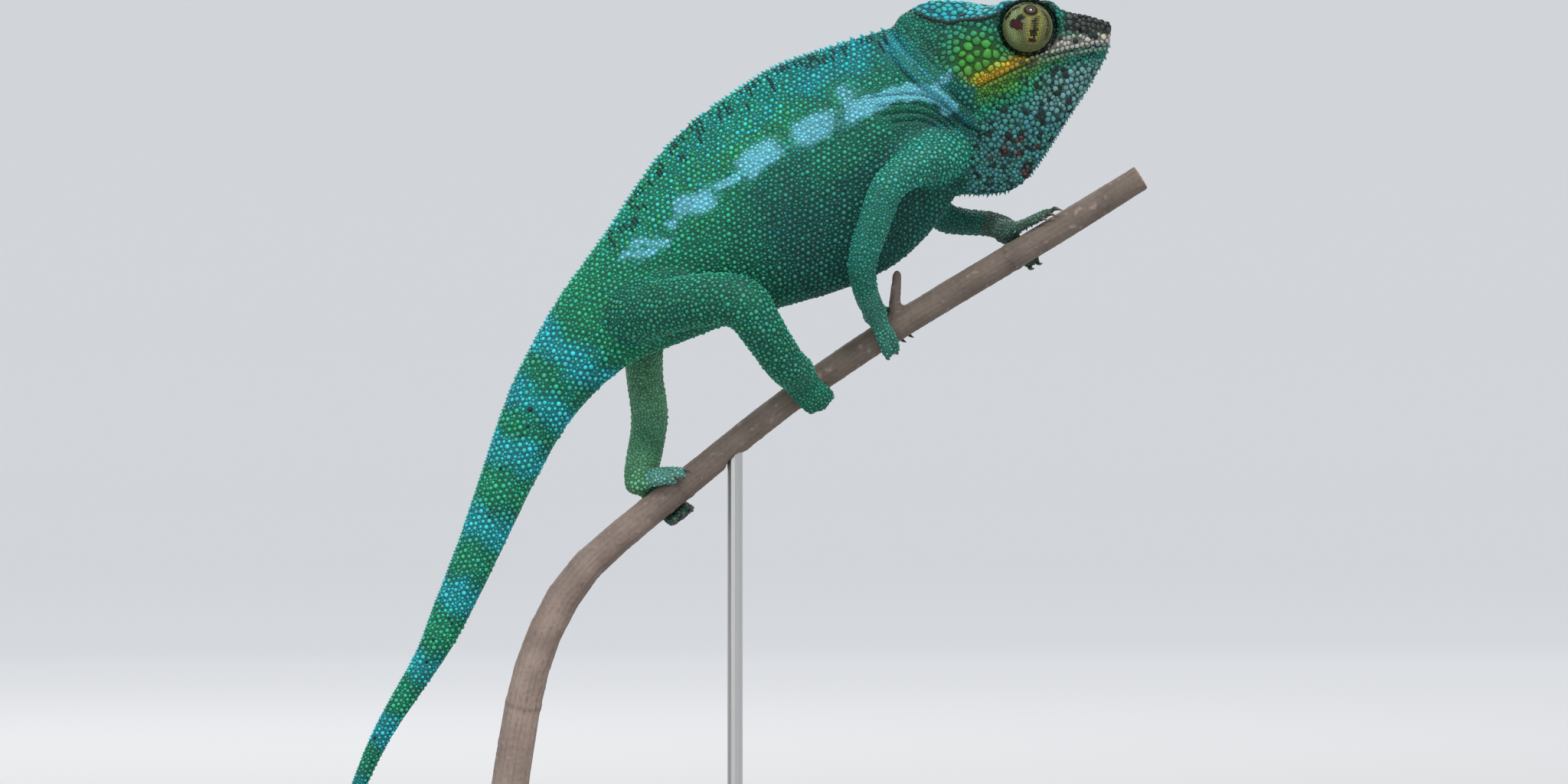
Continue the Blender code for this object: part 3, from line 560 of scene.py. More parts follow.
# The spacing of the small scales at each point, in millimetres
pitch = np.full(len(place), 0.88)
for gap, share in (
    (0.82, on_limbs),
    (0.72, on_toes),
    (0.78, on_tail * band(behind_nape, 230, 600, 60)),
    (0.85, on_head),
    (1.05, throat),
    (1.5, throat * band(x, 86, 125, 12) * band(over_mouth, -20, 5, 8)),
    (1.6, head_side * band(over_mouth, 1.5, 30, 1) * band(x, 68, 100, 4) * band(z, 300, 322, 2)),
    (3.0, cheek * 1.1 * np.clip((over_mouth - 2.6) / 1.2, 0, 1)),
    (0.7, head_side * hump(lip_line, 1.7) * 1.2),
    (2.1, casque),
    (1.5, on_head * band(x, 98, 130, 5) * band(z, 316, 340, 2)),
    (1.1, on_head * hump(eye_ring - 11.0, 1.3)),
):
    pitch += (gap - pitch) * np.clip(share, 0, 1)

# Seeds scattered over the hide, thickest where the scales are smallest
weight = np.linalg.norm(np.cross(
    place[triangles[:, 1]] - place[triangles[:, 0]], place[triangles[:, 2]] - place[triangles[:, 0]]), axis=1)
weight /= np.minimum(pitch, 1.3)[triangles].mean(1) ** 2
picked = np.searchsorted(np.cumsum(weight) / weight.sum(), rng.random(int(weight.sum() / 2 * 5.0)))
mix = rng.dirichlet((1, 1, 1), len(picked))


def seeded(field):
    """A value of the hide at every seed."""
    return np.einsum("nk,nk...->n...", mix, field[triangles[picked]])


seed_place, seed_pitch, seed_out = seeded(place), seeded(pitch), seeded(outward)
seed_pitch *= rng.uniform(0.75, 1.45, len(picked)) ** np.where(seed_pitch > 1.5, 0.4, 1.0)
seed_tree = KDTree(len(seed_place))
for k, spot in enumerate(seed_place):
    seed_tree.insert(spot, k)
seed_tree.balance()
free = np.ones(len(seed_place), bool)


def clear_round(spots, reaches):
    """Mark the seeds within reach of some places as taken."""
    for spot, reach in zip(spots, reaches):
        for _, other, _ in seed_tree.find_range(spot, reach):
            free[other] = False


# Cones, dashes, lip and casque scales have set places: each is (kind, root, outward, size, height over size,
# lean). Those on the flanks are rooted from a start well outside the body.
set_scales = []
OUTSIDE = 40.0


def set_scale(kind, start, heading, size, bulge, lean=(0.0, 0.0, 0.0)):
    """Root one scale where a line from outside first meets the hide."""
    root, out, _, _ = hide_tree.ray_cast(Vector(start), Vector(heading))
    if root is not None:
        set_scales.append((kind, root, out, size, bulge, np.array(lean)))


CREST_START, CREST_END = 46.5, 330.0          # the first cone's place, and how far down the tail they go


def on_back(at):
    """A place on the back line, half the body's depth there, and the ways to the tail and up."""
    row_x, row_z, half = (np.interp(at, back_length, back_line[:, k]) for k in range(3))
    to_tail = np.array([np.interp(at + 1, back_length, back_line[:, k]) for k in (0, 1)]) - (row_x, row_z)
    to_tail /= np.hypot(*to_tail)
    return row_x, row_z, half, to_tail, np.array([to_tail[1], -to_tail[0]])


s = 12.0
while s < CREST_END:
    row_x, row_z, deep, to_tail, up = on_back(s)
    cone = np.interp(s, (20, 60, 130, 330), (0.8, 0.66, 0.58, 0.38))
    start = (row_x + up[0] * (deep + 15), 0.0, row_z + up[1] * (deep + 15))
    if start[0] - up[0] * 15 < CREST_START:
        cone *= rng.uniform(0.85, 1.15)
        tall = np.interp(s, (20, 90, 160, 330), (1.9, 1.7, 1.3, 1.0))
        bent = (to_tail[0] * cone * 0.9, 0, to_tail[1] * cone * 0.9)
        set_scale("crest", start, (-up[0], 0, -up[1]), cone, tall, bent)
    s += cone * 2.3

# Short black dashes across the upper back in loose clusters, each three dark scales in a line from the crest
for side_of in (-1, 1):
    for s in np.arange(18, 124, 1.55):
        for deep in (1.7, 3.8, 6.8):
            if rng.random() > (0.6 + 0.4 * math.sin(s / 3.4 + deep)) * (1.15 - deep / 9):
                continue
            at, deeper = s + rng.uniform(-0.4, 0.4), deep + rng.uniform(-0.7, 0.7)
            row_x, row_z, half, _, up = on_back(at)
            for high in (half - deeper, half - deeper - 0.85, half - deeper - 1.7):
                spot = (row_x + up[0] * high, side_of * OUTSIDE, row_z + up[1] * high)
                set_scale("dash", spot, (0, -side_of, 0), 0.46, 0.6)

CHIN_CENTRE = (84.0, 300.0)                   # rays fan out from here to find the throat's edge
for degrees in np.arange(26, -118, -2.4):
    ray = np.array([math.cos(math.radians(degrees)), math.sin(math.radians(degrees))])
    cone = np.interp(degrees, (-118, -70, 26), (0.42, 0.52, 0.6)) * rng.uniform(0.85, 1.15)
    start = (CHIN_CENTRE[0] + ray[0] * 60, 0.0, CHIN_CENTRE[1] + ray[1] * 60)
    set_scale("gular", start, (-ray[0], 0, -ray[1]), cone, 1.9, (-0.3, 0, -0.3))

for side_of in (-1, 1):
    for above, lip, first in ((1.15, 0.80, 80.0), (-1.15, 0.76, 78.0)):
        for lip_x in np.arange(first, 116.5, lip * 2.05):
            lip_z = np.interp(lip_x, MOUTH_X, MOUTH_Z) + above
            spot, lip_size = (lip_x, side_of * OUTSIDE, lip_z), lip * rng.uniform(0.92, 1.08)
            set_scale("lip", spot, (0, -side_of, 0), lip_size, 0.5)
    for edge_x in np.arange(52.5, 80, 1.5):
        spot = (edge_x, side_of * OUTSIDE, np.interp(edge_x, EDGE_X, EDGE_Z) + 0.4)
        set_scale("edge", spot, (0, -side_of, 0), 0.74 * rng.uniform(0.9, 1.1), 0.8)

set_spots = [row[1] for row in set_scales]
set_sizes = np.array([row[3] for row in set_scales])
clear_round(set_spots, set_sizes * 1.3)

# Tubercles next, at the seeds nearest to the corners of a diamond lattice along the back and round the
# body, or at random on the limbs. Then grains are packed round them, and the smallest scales fill the gaps.
BEAD_APART, GRAIN_APART, FILLER_APART = 0.76, 0.84, 0.6     # in row pitches, grain pitches and millimetres
GRAIN_SIZE, FILLER_SIZE, FILLER_ROOM = 0.53, 0.33, 0.27
LATTICE, NEAR_CORNER = 0.87, 0.22
PITCH_AT, ROW_PITCH = (0, 120, 160, 260, 420), (1.95, 1.95, 2.2, 1.9, 1.3)
row_pitch = np.interp(behind_nape, PITCH_AT, ROW_PITCH)
turn = np.arcsin(np.clip(rise, -1, 1))
squat = half_width / half_depth
around = turn * half_depth * np.mean(
    [np.hypot(np.cos(f * turn), squat * np.sin(f * turn)) for f in np.linspace(0.05, 0.95, 10)], axis=0
)
stations = np.arange(0, 440, 4.0)
rows_from_nape = np.cumsum(4 / np.interp(stations, PITCH_AT, ROW_PITCH))
along_rows = np.interp(behind_nape, stations, rows_from_nape)
cell = np.stack([seeded(along_rows), seeded(around / row_pitch) / LATTICE], axis=1)
shifted = cell[:, 0] - np.round(cell[:, 1]) % 2 / 2
off_corner = np.hypot(shifted - np.round(shifted), cell[:, 1] - np.round(cell[:, 1]))
on_limb = seeded(on_limbs) > 0.5
on_body = seeded(np.clip(on_trunk + on_tail + on_neck, 0, 1) * (1 - on_limbs)) > 0.5
inner = share_of("thigh", "shank", "upper_arm", "forearm", "foot_left")
inner *= np.clip(-outward[:, 1] * np.sign(y) * 2, 0, 1)
folded = NECK_LINES + SHOULDER_CREASES + TEMPLE_FOLDS
fine_neck = np.clip(np.max([hump(off_line(*line), 3.2) for line in folded], axis=0) * near_neck * 1.3, 0, 1)
by_chance = rng.random(len(cell)) * (0.2 + 0.5 * seeded(inner))
in_rows = off_corner * rng.uniform(0.6, 1.4, len(cell)) + 0.3 * seeded(fine_neck)
off_corner = np.where(on_limb, by_chance, in_rows)
seed_rows = np.where(on_limb, 2.0 - 0.2 * seeded(on_feet) - 0.6 * seeded(on_toes), seeded(row_pitch))
fine = np.clip(inner + share_of("shank_left", "forearm_left", "hand") + 0.7 * share_of("forearm_right"), 0, 1)
bead_size = seed_rows * (0.26 + 0.17 * rng.random(len(seed_rows)) ** 1.8) * (1 - 0.35 * seeded(fine))


def packed(order, reach):
    """The seeds that are still free when their turn comes, each clearing the ground round it."""
    chosen = []
    for k in order:
        if free[k]:
            chosen.append(k)
            clear_round([seed_place[k]], [reach[k]])
    return chosen


order = np.argsort(off_corner)
beads = packed(order[((off_corner < NEAR_CORNER) & (on_body | on_limb))[order]], BEAD_APART * seed_rows)
free[:] = True
clear_round(seed_place[beads], bead_size[beads] + 0.5 * seed_pitch[beads])
clear_round(set_spots, set_sizes + 0.3)
grains = packed(rng.permutation(len(seed_place)), GRAIN_APART * seed_pitch)
free[:] = True
clear_round(seed_place[beads], bead_size[beads] + FILLER_ROOM)
clear_round(set_spots, set_sizes + FILLER_ROOM)
clear_round(seed_place[grains], 0.44 * seed_pitch[grains] + FILLER_ROOM)
fillers = packed(rng.permutation(np.flatnonzero(free)), np.full(len(free), FILLER_APART))

picks = np.array(beads + grains + fillers)
kind = [row[0] for row in set_scales] + ["bead"] * len(beads) + ["grain"] * len(grains)
kind = np.array(kind + ["filler"] * len(fillers))
root = np.vstack([np.array(set_spots), seed_place[picks]])
out = np.vstack([np.array([row[2] for row in set_scales]), seed_out[picks]])
out /= np.linalg.norm(out, axis=1)[:, None]
is_bead = kind == "bead"
size = [set_sizes, bead_size[beads], seed_pitch[grains] * GRAIN_SIZE, np.full(len(fillers), FILLER_SIZE)]
size = np.concatenate(size)
bulge = np.where(is_bead, 0.72, 0.45)
bulge[:len(set_scales)] = [row[4] for row in set_scales]
lean = np.zeros((len(root), 3))
lean[:len(set_scales)] = [row[5] for row in set_scales]
under_set = triangles[[hide_tree.find_nearest(spot)[2] for spot in set_spots]]


def at_root(field):
    """A value of the hide at every scale's root."""
    return np.concatenate([field[under_set].mean(1), seeded(field)[picks]])


# Colours: beads are brighter than the ground between them, and each scale differs a little
colour = at_root(tone)
quiet = np.clip(at_root(on_toes * 0.5 + on_feet * 0.2 + fine), 0, 1)
in_pale = at_root(pale)
bead_gain = 1.55 - 0.45 * quiet - 0.48 * in_pale
other_gain = 0.84 + 0.5 * np.clip(size - 0.3, 0, 0.5) + 0.1 * in_pale + 0.15 * at_root(on_tail)
gain = np.where(is_bead, bead_gain, other_gain)
colour = colour * (gain * (1 + rng.uniform(-0.22, 0.22, len(root)) * (1 - 0.6 * in_pale)))[:, None]
shift = rng.uniform(-1, 1, len(root)) * 0.2 * (1 - 0.7 * in_pale)
colour[:, 2] *= 1 + shift
colour[:, 0] += is_bead * rng.uniform(0.0, 0.025, len(root))
colour[kind == "crest"] = colour[kind == "crest"] * 0.5 + BACK_BLUE * 0.9
colour[kind == "gular"] = THROAT_TEAL * 1.3
colour[kind == "edge"] = THROAT_DARK * 0.9
throat_root = at_root(throat * band(over_mouth, -60, -3, 2))
on_tail_side = on_tail * hump(rise, 0.3) * band(behind_nape, 200, 330, 30)
black_share = throat_root * np.where(size < 0.5, 0.3, 0.08) + at_root(on_tail_side) * 0.05
black_share += at_root(casque) * 0.06 + at_root(head_side * band(x, 92, 120, 5)) * 0.12
dark = (rng.random(len(root)) < black_share) & ~np.isin(kind, ["crest", "gular"]) | (kind == "dash")
colour[dark] = THROAT_DARK * rng.uniform(0.5, 1.2, (dark.sum(), 1))
is_lip = kind == "lip"
upper = root[is_lip, 2] > np.interp(root[is_lip, 0], MOUTH_X, MOUTH_Z)
paleness = np.clip((root[is_lip, 0] - 84) / 12, 0, 1) * np.where(upper, 0.5, 0.22)
colour[is_lip] = colour[is_lip] * 0.6 + LIP_PALE * paleness[:, None]


# Two eye turrets get rings of fine scales round their lids
TURRET_RADIUS = 8.3
EYE_LOOK = {-1: Vector((0.10, -0.76, 0.64)).normalized(), 1: Vector((0.10, 0.76, 0.64)).normalized()}
EYE_GREEN, EYE_YELLOW = dye(108, 117, 74), dye(160, 151, 70)
EYE_BROWN, EYE_DARK = dye(66, 26, 24), dye(16, 24, 16)


def eye_centre(side_of):
    """The middle of the right (-1) or left (1) turret."""
    return np.array([EYE_X, side_of * EYE_OUT, EYE_Z])


def turret_tone(points, side_of):
    """The colours of an eye turret, for points given from its centre."""
    points = points / np.linalg.norm(points, axis=1)[:, None] * TURRET_RADIUS
    colours = np.tile(EYE_GREEN, (len(points), 1))

    def from_marks(marks):
        line = curve_through(marks, 16)
        spots = [(a, side_of * math.sqrt(max(TURRET_RADIUS ** 2 - a * a - b * b, 0)), b) for a, b in line]
        return np.min([np.linalg.norm(points - spot, axis=1) for spot in spots], axis=0)

    def mark(colour, distance, width, soft):
        share = np.clip((width - distance) / soft + 0.5, 0, 1)[:, None]
        colours[:] += (colour - colours) * share

    look = np.array(EYE_LOOK[side_of])
    from_pupil = np.arccos(np.clip(points @ look / TURRET_RADIUS, -1, 1)) * TURRET_RADIUS
    rungs = [
        (EYE_DARK, 0.27, 0.15, (1.0 + t * 0.06, t), (2.2 + t * 0.1, t + 0.1), (3.4 + t * 0.14, t))
        for t in np.arange(-3.2, 3.3, 0.8)
    ]
    for dyed, width, soft, *marks in (
        (EYE_YELLOW, 2.0, 3.0, (2.6, 3.0), (2.2, 0), (1.8, -3.6)),
        (dye(140, 160, 110), 1.5, 3.0, (-4.5, 4.0), (-6.0, 0.0), (-4.5, -4.0)),
        (EYE_GREEN * 0.55, 1.2, 1.2, (6.6, 3.0), (7.4, 0.0), (6.2, -3.6)),
        (EYE_DARK * 1.4, 1.1, 0.25, (0.6, 4.4), (-1.4, 3.6), (-3.2, 2.2), (-3.9, 0.6)),
        (EYE_BROWN, 1.6, 0.25, (-5.0, 0.9), (-3.2, 0.1)),
        (EYE_DARK, 0.45, 0.2, (2.7, 3.4), (2.2, 0.8), (1.9, -3.7)),
        *rungs,
        (EYE_BROWN, 0.75, 0.25, (0.6, -4.6), (1.9, -4.9)),
        (EYE_BROWN, 0.42, 0.25, (5.0, 4.8), (6.3, 2.8), (6.7, 0.6), (6.1, -3.0)),
        (EYE_DARK, 0.9, 0.25, (-6.0, 4.6), (-7.1, 2.8)),
        (EYE_DARK, 0.7, 0.25, (-4.9, 5.7), (-3.2, 6.5)),
        (EYE_DARK, 0.55, 0.25, (-2.2, 7.5), (2.0, 7.7), (5.4, 6.1)),
    ):
        mark(dyed, from_marks(marks), width, soft)
    mark(EYE_YELLOW * 0.9, from_pupil, 3.0, 0.6)
    mark(EYE_DARK * 0.6, from_pupil, 2.5, 0.3)
    return colours


turret_rows = []
for side_of in (-1, 1):
    look = EYE_LOOK[side_of]
    over = look.orthogonal().normalized()
    beside = look.cross(over)
    for tilt in np.arange(0.27, 2.2, 0.09):
        count = max(8, int(2 * math.pi * math.sin(tilt) * TURRET_RADIUS / 0.8))
        for k in range(count):
            turned = 2 * math.pi * (k + 0.5 * (int(tilt / 0.09) % 2)) / count
            outwards = over * math.cos(turned) + beside * math.sin(turned)
            away = look * math.cos(tilt) + outwards * math.sin(tilt)
            spot = Vector(eye_centre(side_of)) + away * (TURRET_RADIUS - 0.25)
            on_hide, facing, _, _ = hide_tree.find_nearest(spot)
            if (spot - on_hide).dot(facing) > -0.3:
                turret_rows.append((spot, away, side_of, tilt, turned))
turret_root, turret_out, turret_side = (np.array([row[k] for row in turret_rows]) for k in range(3))
turret_colour = np.zeros_like(turret_root)
for side_of in (-1, 1):
    on_it = turret_side == side_of
    turret_colour[on_it] = turret_tone(turret_root[on_it] - eye_centre(side_of), side_of)
turret_colour *= rng.uniform(0.84, 1.16, (len(turret_root), 1))
turret_patch = np.array([
    (0.5 + 0.2 * t * math.cos(u), 0.5 + 0.2 * t * math.sin(u)) for _, _, _, t, u in turret_rows
])

skin_count, turret_count = len(root), len(turret_root)
root, out = np.vstack([root, turret_root]), np.vstack([out, turret_out])
colour, lean = np.vstack([colour, turret_colour]), np.vstack([lean, np.zeros_like(turret_root)])
size = np.concatenate([size, np.full(turret_count, 0.40)])
bulge = np.concatenate([bulge, np.full(turret_count, 0.42)])
kind = np.concatenate([kind, np.where(turret_side < 0, "turret_right", "turret_left")])

# Each scale's outline is the ground nearer to it than to any neighbour
root_tree = KDTree(len(root))
for k, spot in enumerate(root):
    root_tree.insert(spot, k)
root_tree.balance()
around_it = np.array([[j for _, j, _ in root_tree.find_n(spot, 15)][1:] for spot in root])
reach = root[around_it] - root[:, None]
reach -= np.einsum("nkc,nc->nk", reach, out)[:, :, None] * out[:, None]
apart = np.linalg.norm(reach, axis=2) + 1e-6
halfway = apart * size[:, None] / (size[:, None] + size[around_it])
helper = np.where(np.abs(out[:, 1:2]) < 0.8, [[0.0, 1.0, 0.0]], [[1.0, 0.0, 0.0]])
across = np.cross(helper, out)
across /= np.linalg.norm(across, axis=1)[:, None]
onward = np.cross(out, across)
spin = rng.uniform(0, 2 * math.pi, len(root))


def outlines(which, sides):
    """Unit directions round each scale and how far its edge lies in each."""
    angles = spin[which, None] + 2 * math.pi * np.arange(sides) / sides
    rays = np.cos(angles)[:, :, None] * across[which, None] + np.sin(angles)[:, :, None] * onward[which, None]
    facing = np.einsum("nmc,nkc->nmk", rays, reach[which]) / apart[which, None]
    limit = np.where(facing > 0.05, halfway[which, None] / np.maximum(facing, 0.05), 1e3).min(2)
    roomy = np.where(kind[which] == "bead", 1.0, 1.3) * size[which]
    return rays, np.minimum(limit, roomy[:, None]), angles


def set_tint(mesh, tint):
    """Give each point of a mesh its colour."""
    shown = mesh.color_attributes.new("Tint", "FLOAT_COLOR", "POINT")
    shown.data.foreach_set("color", np.column_stack([tint, np.ones(len(tint))]).astype(np.float32).ravel())


def mesh_from(name, verts, polygons, tint, patch):
    """An object from arrays: points in millimetres, groups of like faces, and each point's colour and UV."""
    mesh = bpy.data.meshes.new(name)
    loops = np.concatenate([p.ravel() for p in polygons])
    counts = np.concatenate([np.full(len(p), p.shape[1]) for p in polygons])
    mesh.vertices.add(len(verts))
    mesh.vertices.foreach_set("co", (verts * MM).ravel())
    mesh.loops.add(len(loops))
    mesh.loops.foreach_set("vertex_index", loops.astype(np.int32))
    mesh.polygons.add(len(counts))
    mesh.polygons.foreach_set("loop_start", np.concatenate([[0], np.cumsum(counts)[:-1]]).astype(np.int32))
    mesh.update(calc_edges=True)
    mesh.shade_smooth()
    set_tint(mesh, tint)
    mesh.uv_layers.new(name="OFBake").data.foreach_set("uv", patch[loops].astype(np.float32).ravel())
    return placed(name, mesh)


def scales(name, which, sides, rings, unwrapped):
    """Join many scales in one piece. Rings are (share of the outline, share of the height, painted light: a
    factor on the colour, below 1 for painted shade at a scale's foot and above 1 for a painted highlight on
    its top).
    """
    rays, limit, angles = outlines(which, sides)
    lift = size[which] * bulge[which]
    levels, shades, patches = [], [], []
    for share, rise_share, painted_light in rings:
        edge = np.minimum(limit * 0.95 - 0.02, limit) * share
        bent = out[which] * (lift * rise_share)[:, None] + lean[which] * max(rise_share, 0) ** 2
        levels.append(root[which, None] + rays * edge[:, :, None] + bent[:, None])
        # each ring's colour is scaled by its painted light: painted shade low down, painted highlight near
        # the top
        shades.append(np.repeat(colour[which, None] * painted_light, sides, axis=1))
        circle = np.stack([np.cos(angles), np.sin(angles)], axis=2) * 0.0015 * share
        patches.append(unwrapped[which, None] + circle)
    count, depth = len(which), len(rings)
    top = root[which] + out[which] * lift[:, None] + lean[which]
    verts = np.concatenate([np.concatenate(levels, axis=1), top[:, None]], axis=1)
    # the top point takes the last ring's painted light
    tint = np.concatenate([np.concatenate(shades, axis=1), colour[which, None] * rings[-1][2]], axis=1)
    patch = np.concatenate([np.concatenate(patches, axis=1), unwrapped[which, None]], axis=1)
    ring = np.arange(sides)
    pair = np.stack([ring, (ring + 1) % sides], 1)
    walls = [np.hstack([pair + d * sides, pair[:, ::-1] + (d + 1) * sides]) for d in range(depth - 1)]
    cap = np.column_stack([pair + (depth - 1) * sides, np.full(sides, depth * sides)])
    start = (np.arange(count) * (depth * sides + 1))[:, None, None]
    polygons = [(start + cap).reshape(-1, 3), (start + ring[::-1][None]).reshape(-1, sides)]
    if walls:
        polygons.append((start + np.concatenate(walls)).reshape(-1, 4))
    return mesh_from(name, verts.reshape(-1, 3), polygons, tint.reshape(-1, 3), patch.reshape(-1, 2))


# A flat unwrap of the hide's own shape, on a light copy, to place each scale's patch of bake
sheet = placed("sheet", hide.data.copy())
with_modifier(sheet, "DECIMATE", ratio=0.02, use_collapse_triangulate=True)
bpy.context.view_layer.objects.active = sheet
bpy.ops.object.select_all(action="DESELECT")
sheet.select_set(True)
bpy.ops.object.mode_set(mode="EDIT")
bpy.ops.mesh.select_all(action="SELECT")
bpy.ops.uv.smart_project(angle_limit=math.radians(60), island_margin=0.004)
bpy.ops.object.mode_set(mode="OBJECT")
sheet_uv = array_of(sheet.data.uv_layers.active.data, "uv", 2).reshape(-1, 3, 2)
sheet_faces = array_of(sheet.data.polygons, "vertices", 3, int)
sheet_points = array_of(sheet.data.vertices, "co")
sheet_tree = BVHTree.FromPolygons(sheet_points.tolist(), sheet_faces.tolist())
under = np.array([sheet_tree.find_nearest(spot)[2] for spot in root[:skin_count]])
a, b, c = (sheet_points[sheet_faces[under, k]] for k in range(3))
ab, ac, ap = b - a, c - a, root[:skin_count] - a
d00, d01, d11 = (ab * ab).sum(1), (ab * ac).sum(1), (ac * ac).sum(1)
d20, d21 = (ap * ab).sum(1), (ap * ac).sum(1)
span = d00 * d11 - d01 ** 2
b_share, c_share = (d11 * d20 - d01 * d21) / span, (d00 * d21 - d01 * d20) / span
unwrapped = np.einsum("nk,nkc->nc", np.stack([1 - b_share - c_share, b_share, c_share], 1), sheet_uv[under])
unwrapped = np.vstack([unwrapped, turret_patch])
bpy.data.objects.remove(sheet)

skin_root = np.arange(len(root)) < skin_count


def mostly(field):
    """Which scales stand where a value of the hide is over a half."""
    return np.concatenate([at_root(field) > 0.5, np.zeros(turret_count, bool)])


pointed = np.isin(kind, ["crest", "gular", "edge"])
head_part = mostly(np.clip(on_head, 0, 1)) & ~pointed
limb_part = mostly(on_limbs) & ~head_part & ~pointed
tail_part = mostly(on_tail) & ~limb_part & ~head_part & ~pointed
trunk_part = skin_root & ~(head_part | limb_part | tail_part | pointed)
right = root[:, 1] < 0
bead, filler = kind == "bead", kind == "filler"
# The last number of each ring is painted light on the scale's colour: below 1 is painted shade at the foot
# and in the gaps, above 1 a painted highlight on the top; fillers are darkened all over as painted shade
# between the larger scales.
BEAD_RINGS = ((1.0, -0.15, 0.62), (0.92, 0.42, 0.92), (0.55, 0.86, 1.12))
PLATE_RINGS = ((1.0, -0.2, 0.5), (0.93, 0.5, 0.9), (0.62, 0.9, 1.08))
GRAIN_RINGS = ((1.0, -0.12, 0.6), (0.74, 0.78, 1.0))
FILLER_RINGS = ((1.0, 0.0, 0.7),)
CONE_RINGS = ((1.0, -0.15, 0.6), (0.8, 0.25, 0.85), (0.42, 0.65, 1.1))
groups = {
    "crest_cones": (pointed, 8, CONE_RINGS),
    "scales_turret_right": (kind == "turret_right", 6, GRAIN_RINGS),
    "scales_turret_left": (kind == "turret_left", 6, GRAIN_RINGS),
    "scales_head": (head_part & (size > 0.5), 9, PLATE_RINGS),
    "granules_head": (head_part & (size <= 0.5) & ~filler, 6, GRAIN_RINGS),
    "tubercles_trunk_right": (trunk_part & bead & right, 10, BEAD_RINGS),
    "tubercles_trunk_left": (trunk_part & bead & ~right, 10, BEAD_RINGS),
    "granules_trunk_right": (trunk_part & ~(bead | filler) & right, 6, GRAIN_RINGS),
    "granules_trunk_left": (trunk_part & ~(bead | filler) & ~right, 6, GRAIN_RINGS),
    "tubercles_tail": (tail_part & bead, 10, BEAD_RINGS),
    "granules_tail": (tail_part & ~(bead | filler), 6, GRAIN_RINGS),
    "tubercles_limbs_right": (limb_part & bead & right, 10, BEAD_RINGS),
    "tubercles_limbs_left": (limb_part & bead & ~right, 10, BEAD_RINGS),
    "fillers_right": (filler & right, 6, FILLER_RINGS),
    "fillers_left": (filler & ~right, 6, FILLER_RINGS),
    "granules_limbs": (limb_part & ~(bead | filler), 6, GRAIN_RINGS),
}


def feed(tree, node, feeds):
    """Set a node's inputs to values, or link them from other nodes' sockets."""
    for key, value in feeds.items():
        if isinstance(value, bpy.types.NodeSocket):
            tree.links.new(value, node.inputs[key])
        else:
            node.inputs[key].default_value = value


def add_node(tree, kind, feeds):
    """A new node with its inputs fed."""
    node = tree.nodes.new(kind)
    feed(tree, node, feeds)
    return node


# Slight changes of tone and a fine grain over the dyed tint, shared by every part of the animal
grained = bpy.data.node_groups.new("grained_tint", "ShaderNodeTree")
for socket, kind_of, way in (
    ("Tint", "NodeSocketColor", "INPUT"), ("Grain", "NodeSocketFloat", "INPUT"),
    ("Depth", "NodeSocketFloat", "INPUT"), ("Color", "NodeSocketColor", "OUTPUT"),
    ("Normal", "NodeSocketVector", "OUTPUT"),
):
    grained.interface.new_socket(socket, in_out=way, socket_type=kind_of)
given = grained.nodes.new("NodeGroupInput").outputs
where = grained.nodes.new("ShaderNodeTexCoord").outputs["Object"]
noise = add_node(grained, "ShaderNodeTexNoise", {"Vector": where, "Scale": given["Grain"], "Detail": 3.0})
noise = noise.outputs["Fac"]
vary = add_node(grained, "ShaderNodeMapRange", {"Value": noise, "To Min": 0.82, "To Max": 1.18})
blend = add_node(grained, "ShaderNodeVectorMath", {0: given["Tint"], 1: vary.outputs["Result"]})
blend.operation = "MULTIPLY"
bump = add_node(grained, "ShaderNodeBump", {"Strength": 0.5, "Distance": given["Depth"], "Height": noise})
add_node(grained, "NodeGroupOutput", {"Color": blend.outputs["Vector"], "Normal": bump.outputs["Normal"]})


def material_of(name, feeds):
    """A new material, its tree and its shader."""
    material = bpy.data.materials.new(name)
    material.use_nodes = True
    shader = material.node_tree.nodes["Principled BSDF"]
    feed(material.node_tree, shader, feeds)
    return material, material.node_tree, shader


def tinted(name, rough, grain, depth, coat=0.0):
    """A material coloured by the Tint of each point, through the shared grain."""
    gloss = {"Roughness": rough, "Specular IOR Level": 0.3, "Coat Weight": coat}
    material, tree, shader = material_of(name, gloss)
    tint = tree.nodes.new("ShaderNodeAttribute")
    tint.attribute_name = "Tint"
    effect = tree.nodes.new("ShaderNodeGroup")
    effect.node_tree = grained
    feed(tree, effect, {"Grain": grain, "Depth": depth, "Tint": tint.outputs["Color"]})
    feed(tree, shader, {"Base Color": effect.outputs["Color"], "Normal": effect.outputs["Normal"]})
    return material


def fit_out(piece, finish, slot, *stands_for):
    """Give a piece its material and its body, and hide the solids that it stands for. The slot is not used.
    """
    piece.data.materials.append(finish)
    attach(piece, "root")
    if stands_for:
        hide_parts(*stands_for)


scale_finish = tinted("scale_horn", 0.46, 900.0, 0.00012)
hide_finish = tinted("hide_skin", 0.6, 1500.0, 0.00025)
for name, (chosen, sides, rings) in groups.items():
    piece = scales(name, np.flatnonzero(chosen), sides, rings, unwrapped)
    fit_out(piece, scale_finish, "turret" if "turret" in name else "skin")

ground = 0.44 + 0.3 * pale + 0.15 * np.clip(on_toes + on_feet + fine, 0, 1) - 0.12 * np.clip(on_head, 0, 1)
set_tint(hide.data, tone * ground[:, None])
full = sum(len(p.vertices) - 2 for p in hide.data.polygons)
with_modifier(hide, "DECIMATE", ratio=HIDE_TRIANGLES / full, use_collapse_triangulate=True)
hide.data.transform(Matrix.Scale(MM, 4))
hide.data.shade_smooth()
fit_out(hide, hide_finish, "skin", *flesh)


# ---- Eyes -----------------------------------------------------------------------------------------
# Each turret is a dome of skin drawn over the ball, with a lid rolled round a small opening. The ball is
# a glass eye: black pupil, thin golden ring, dark edge, and a clear glossy front.

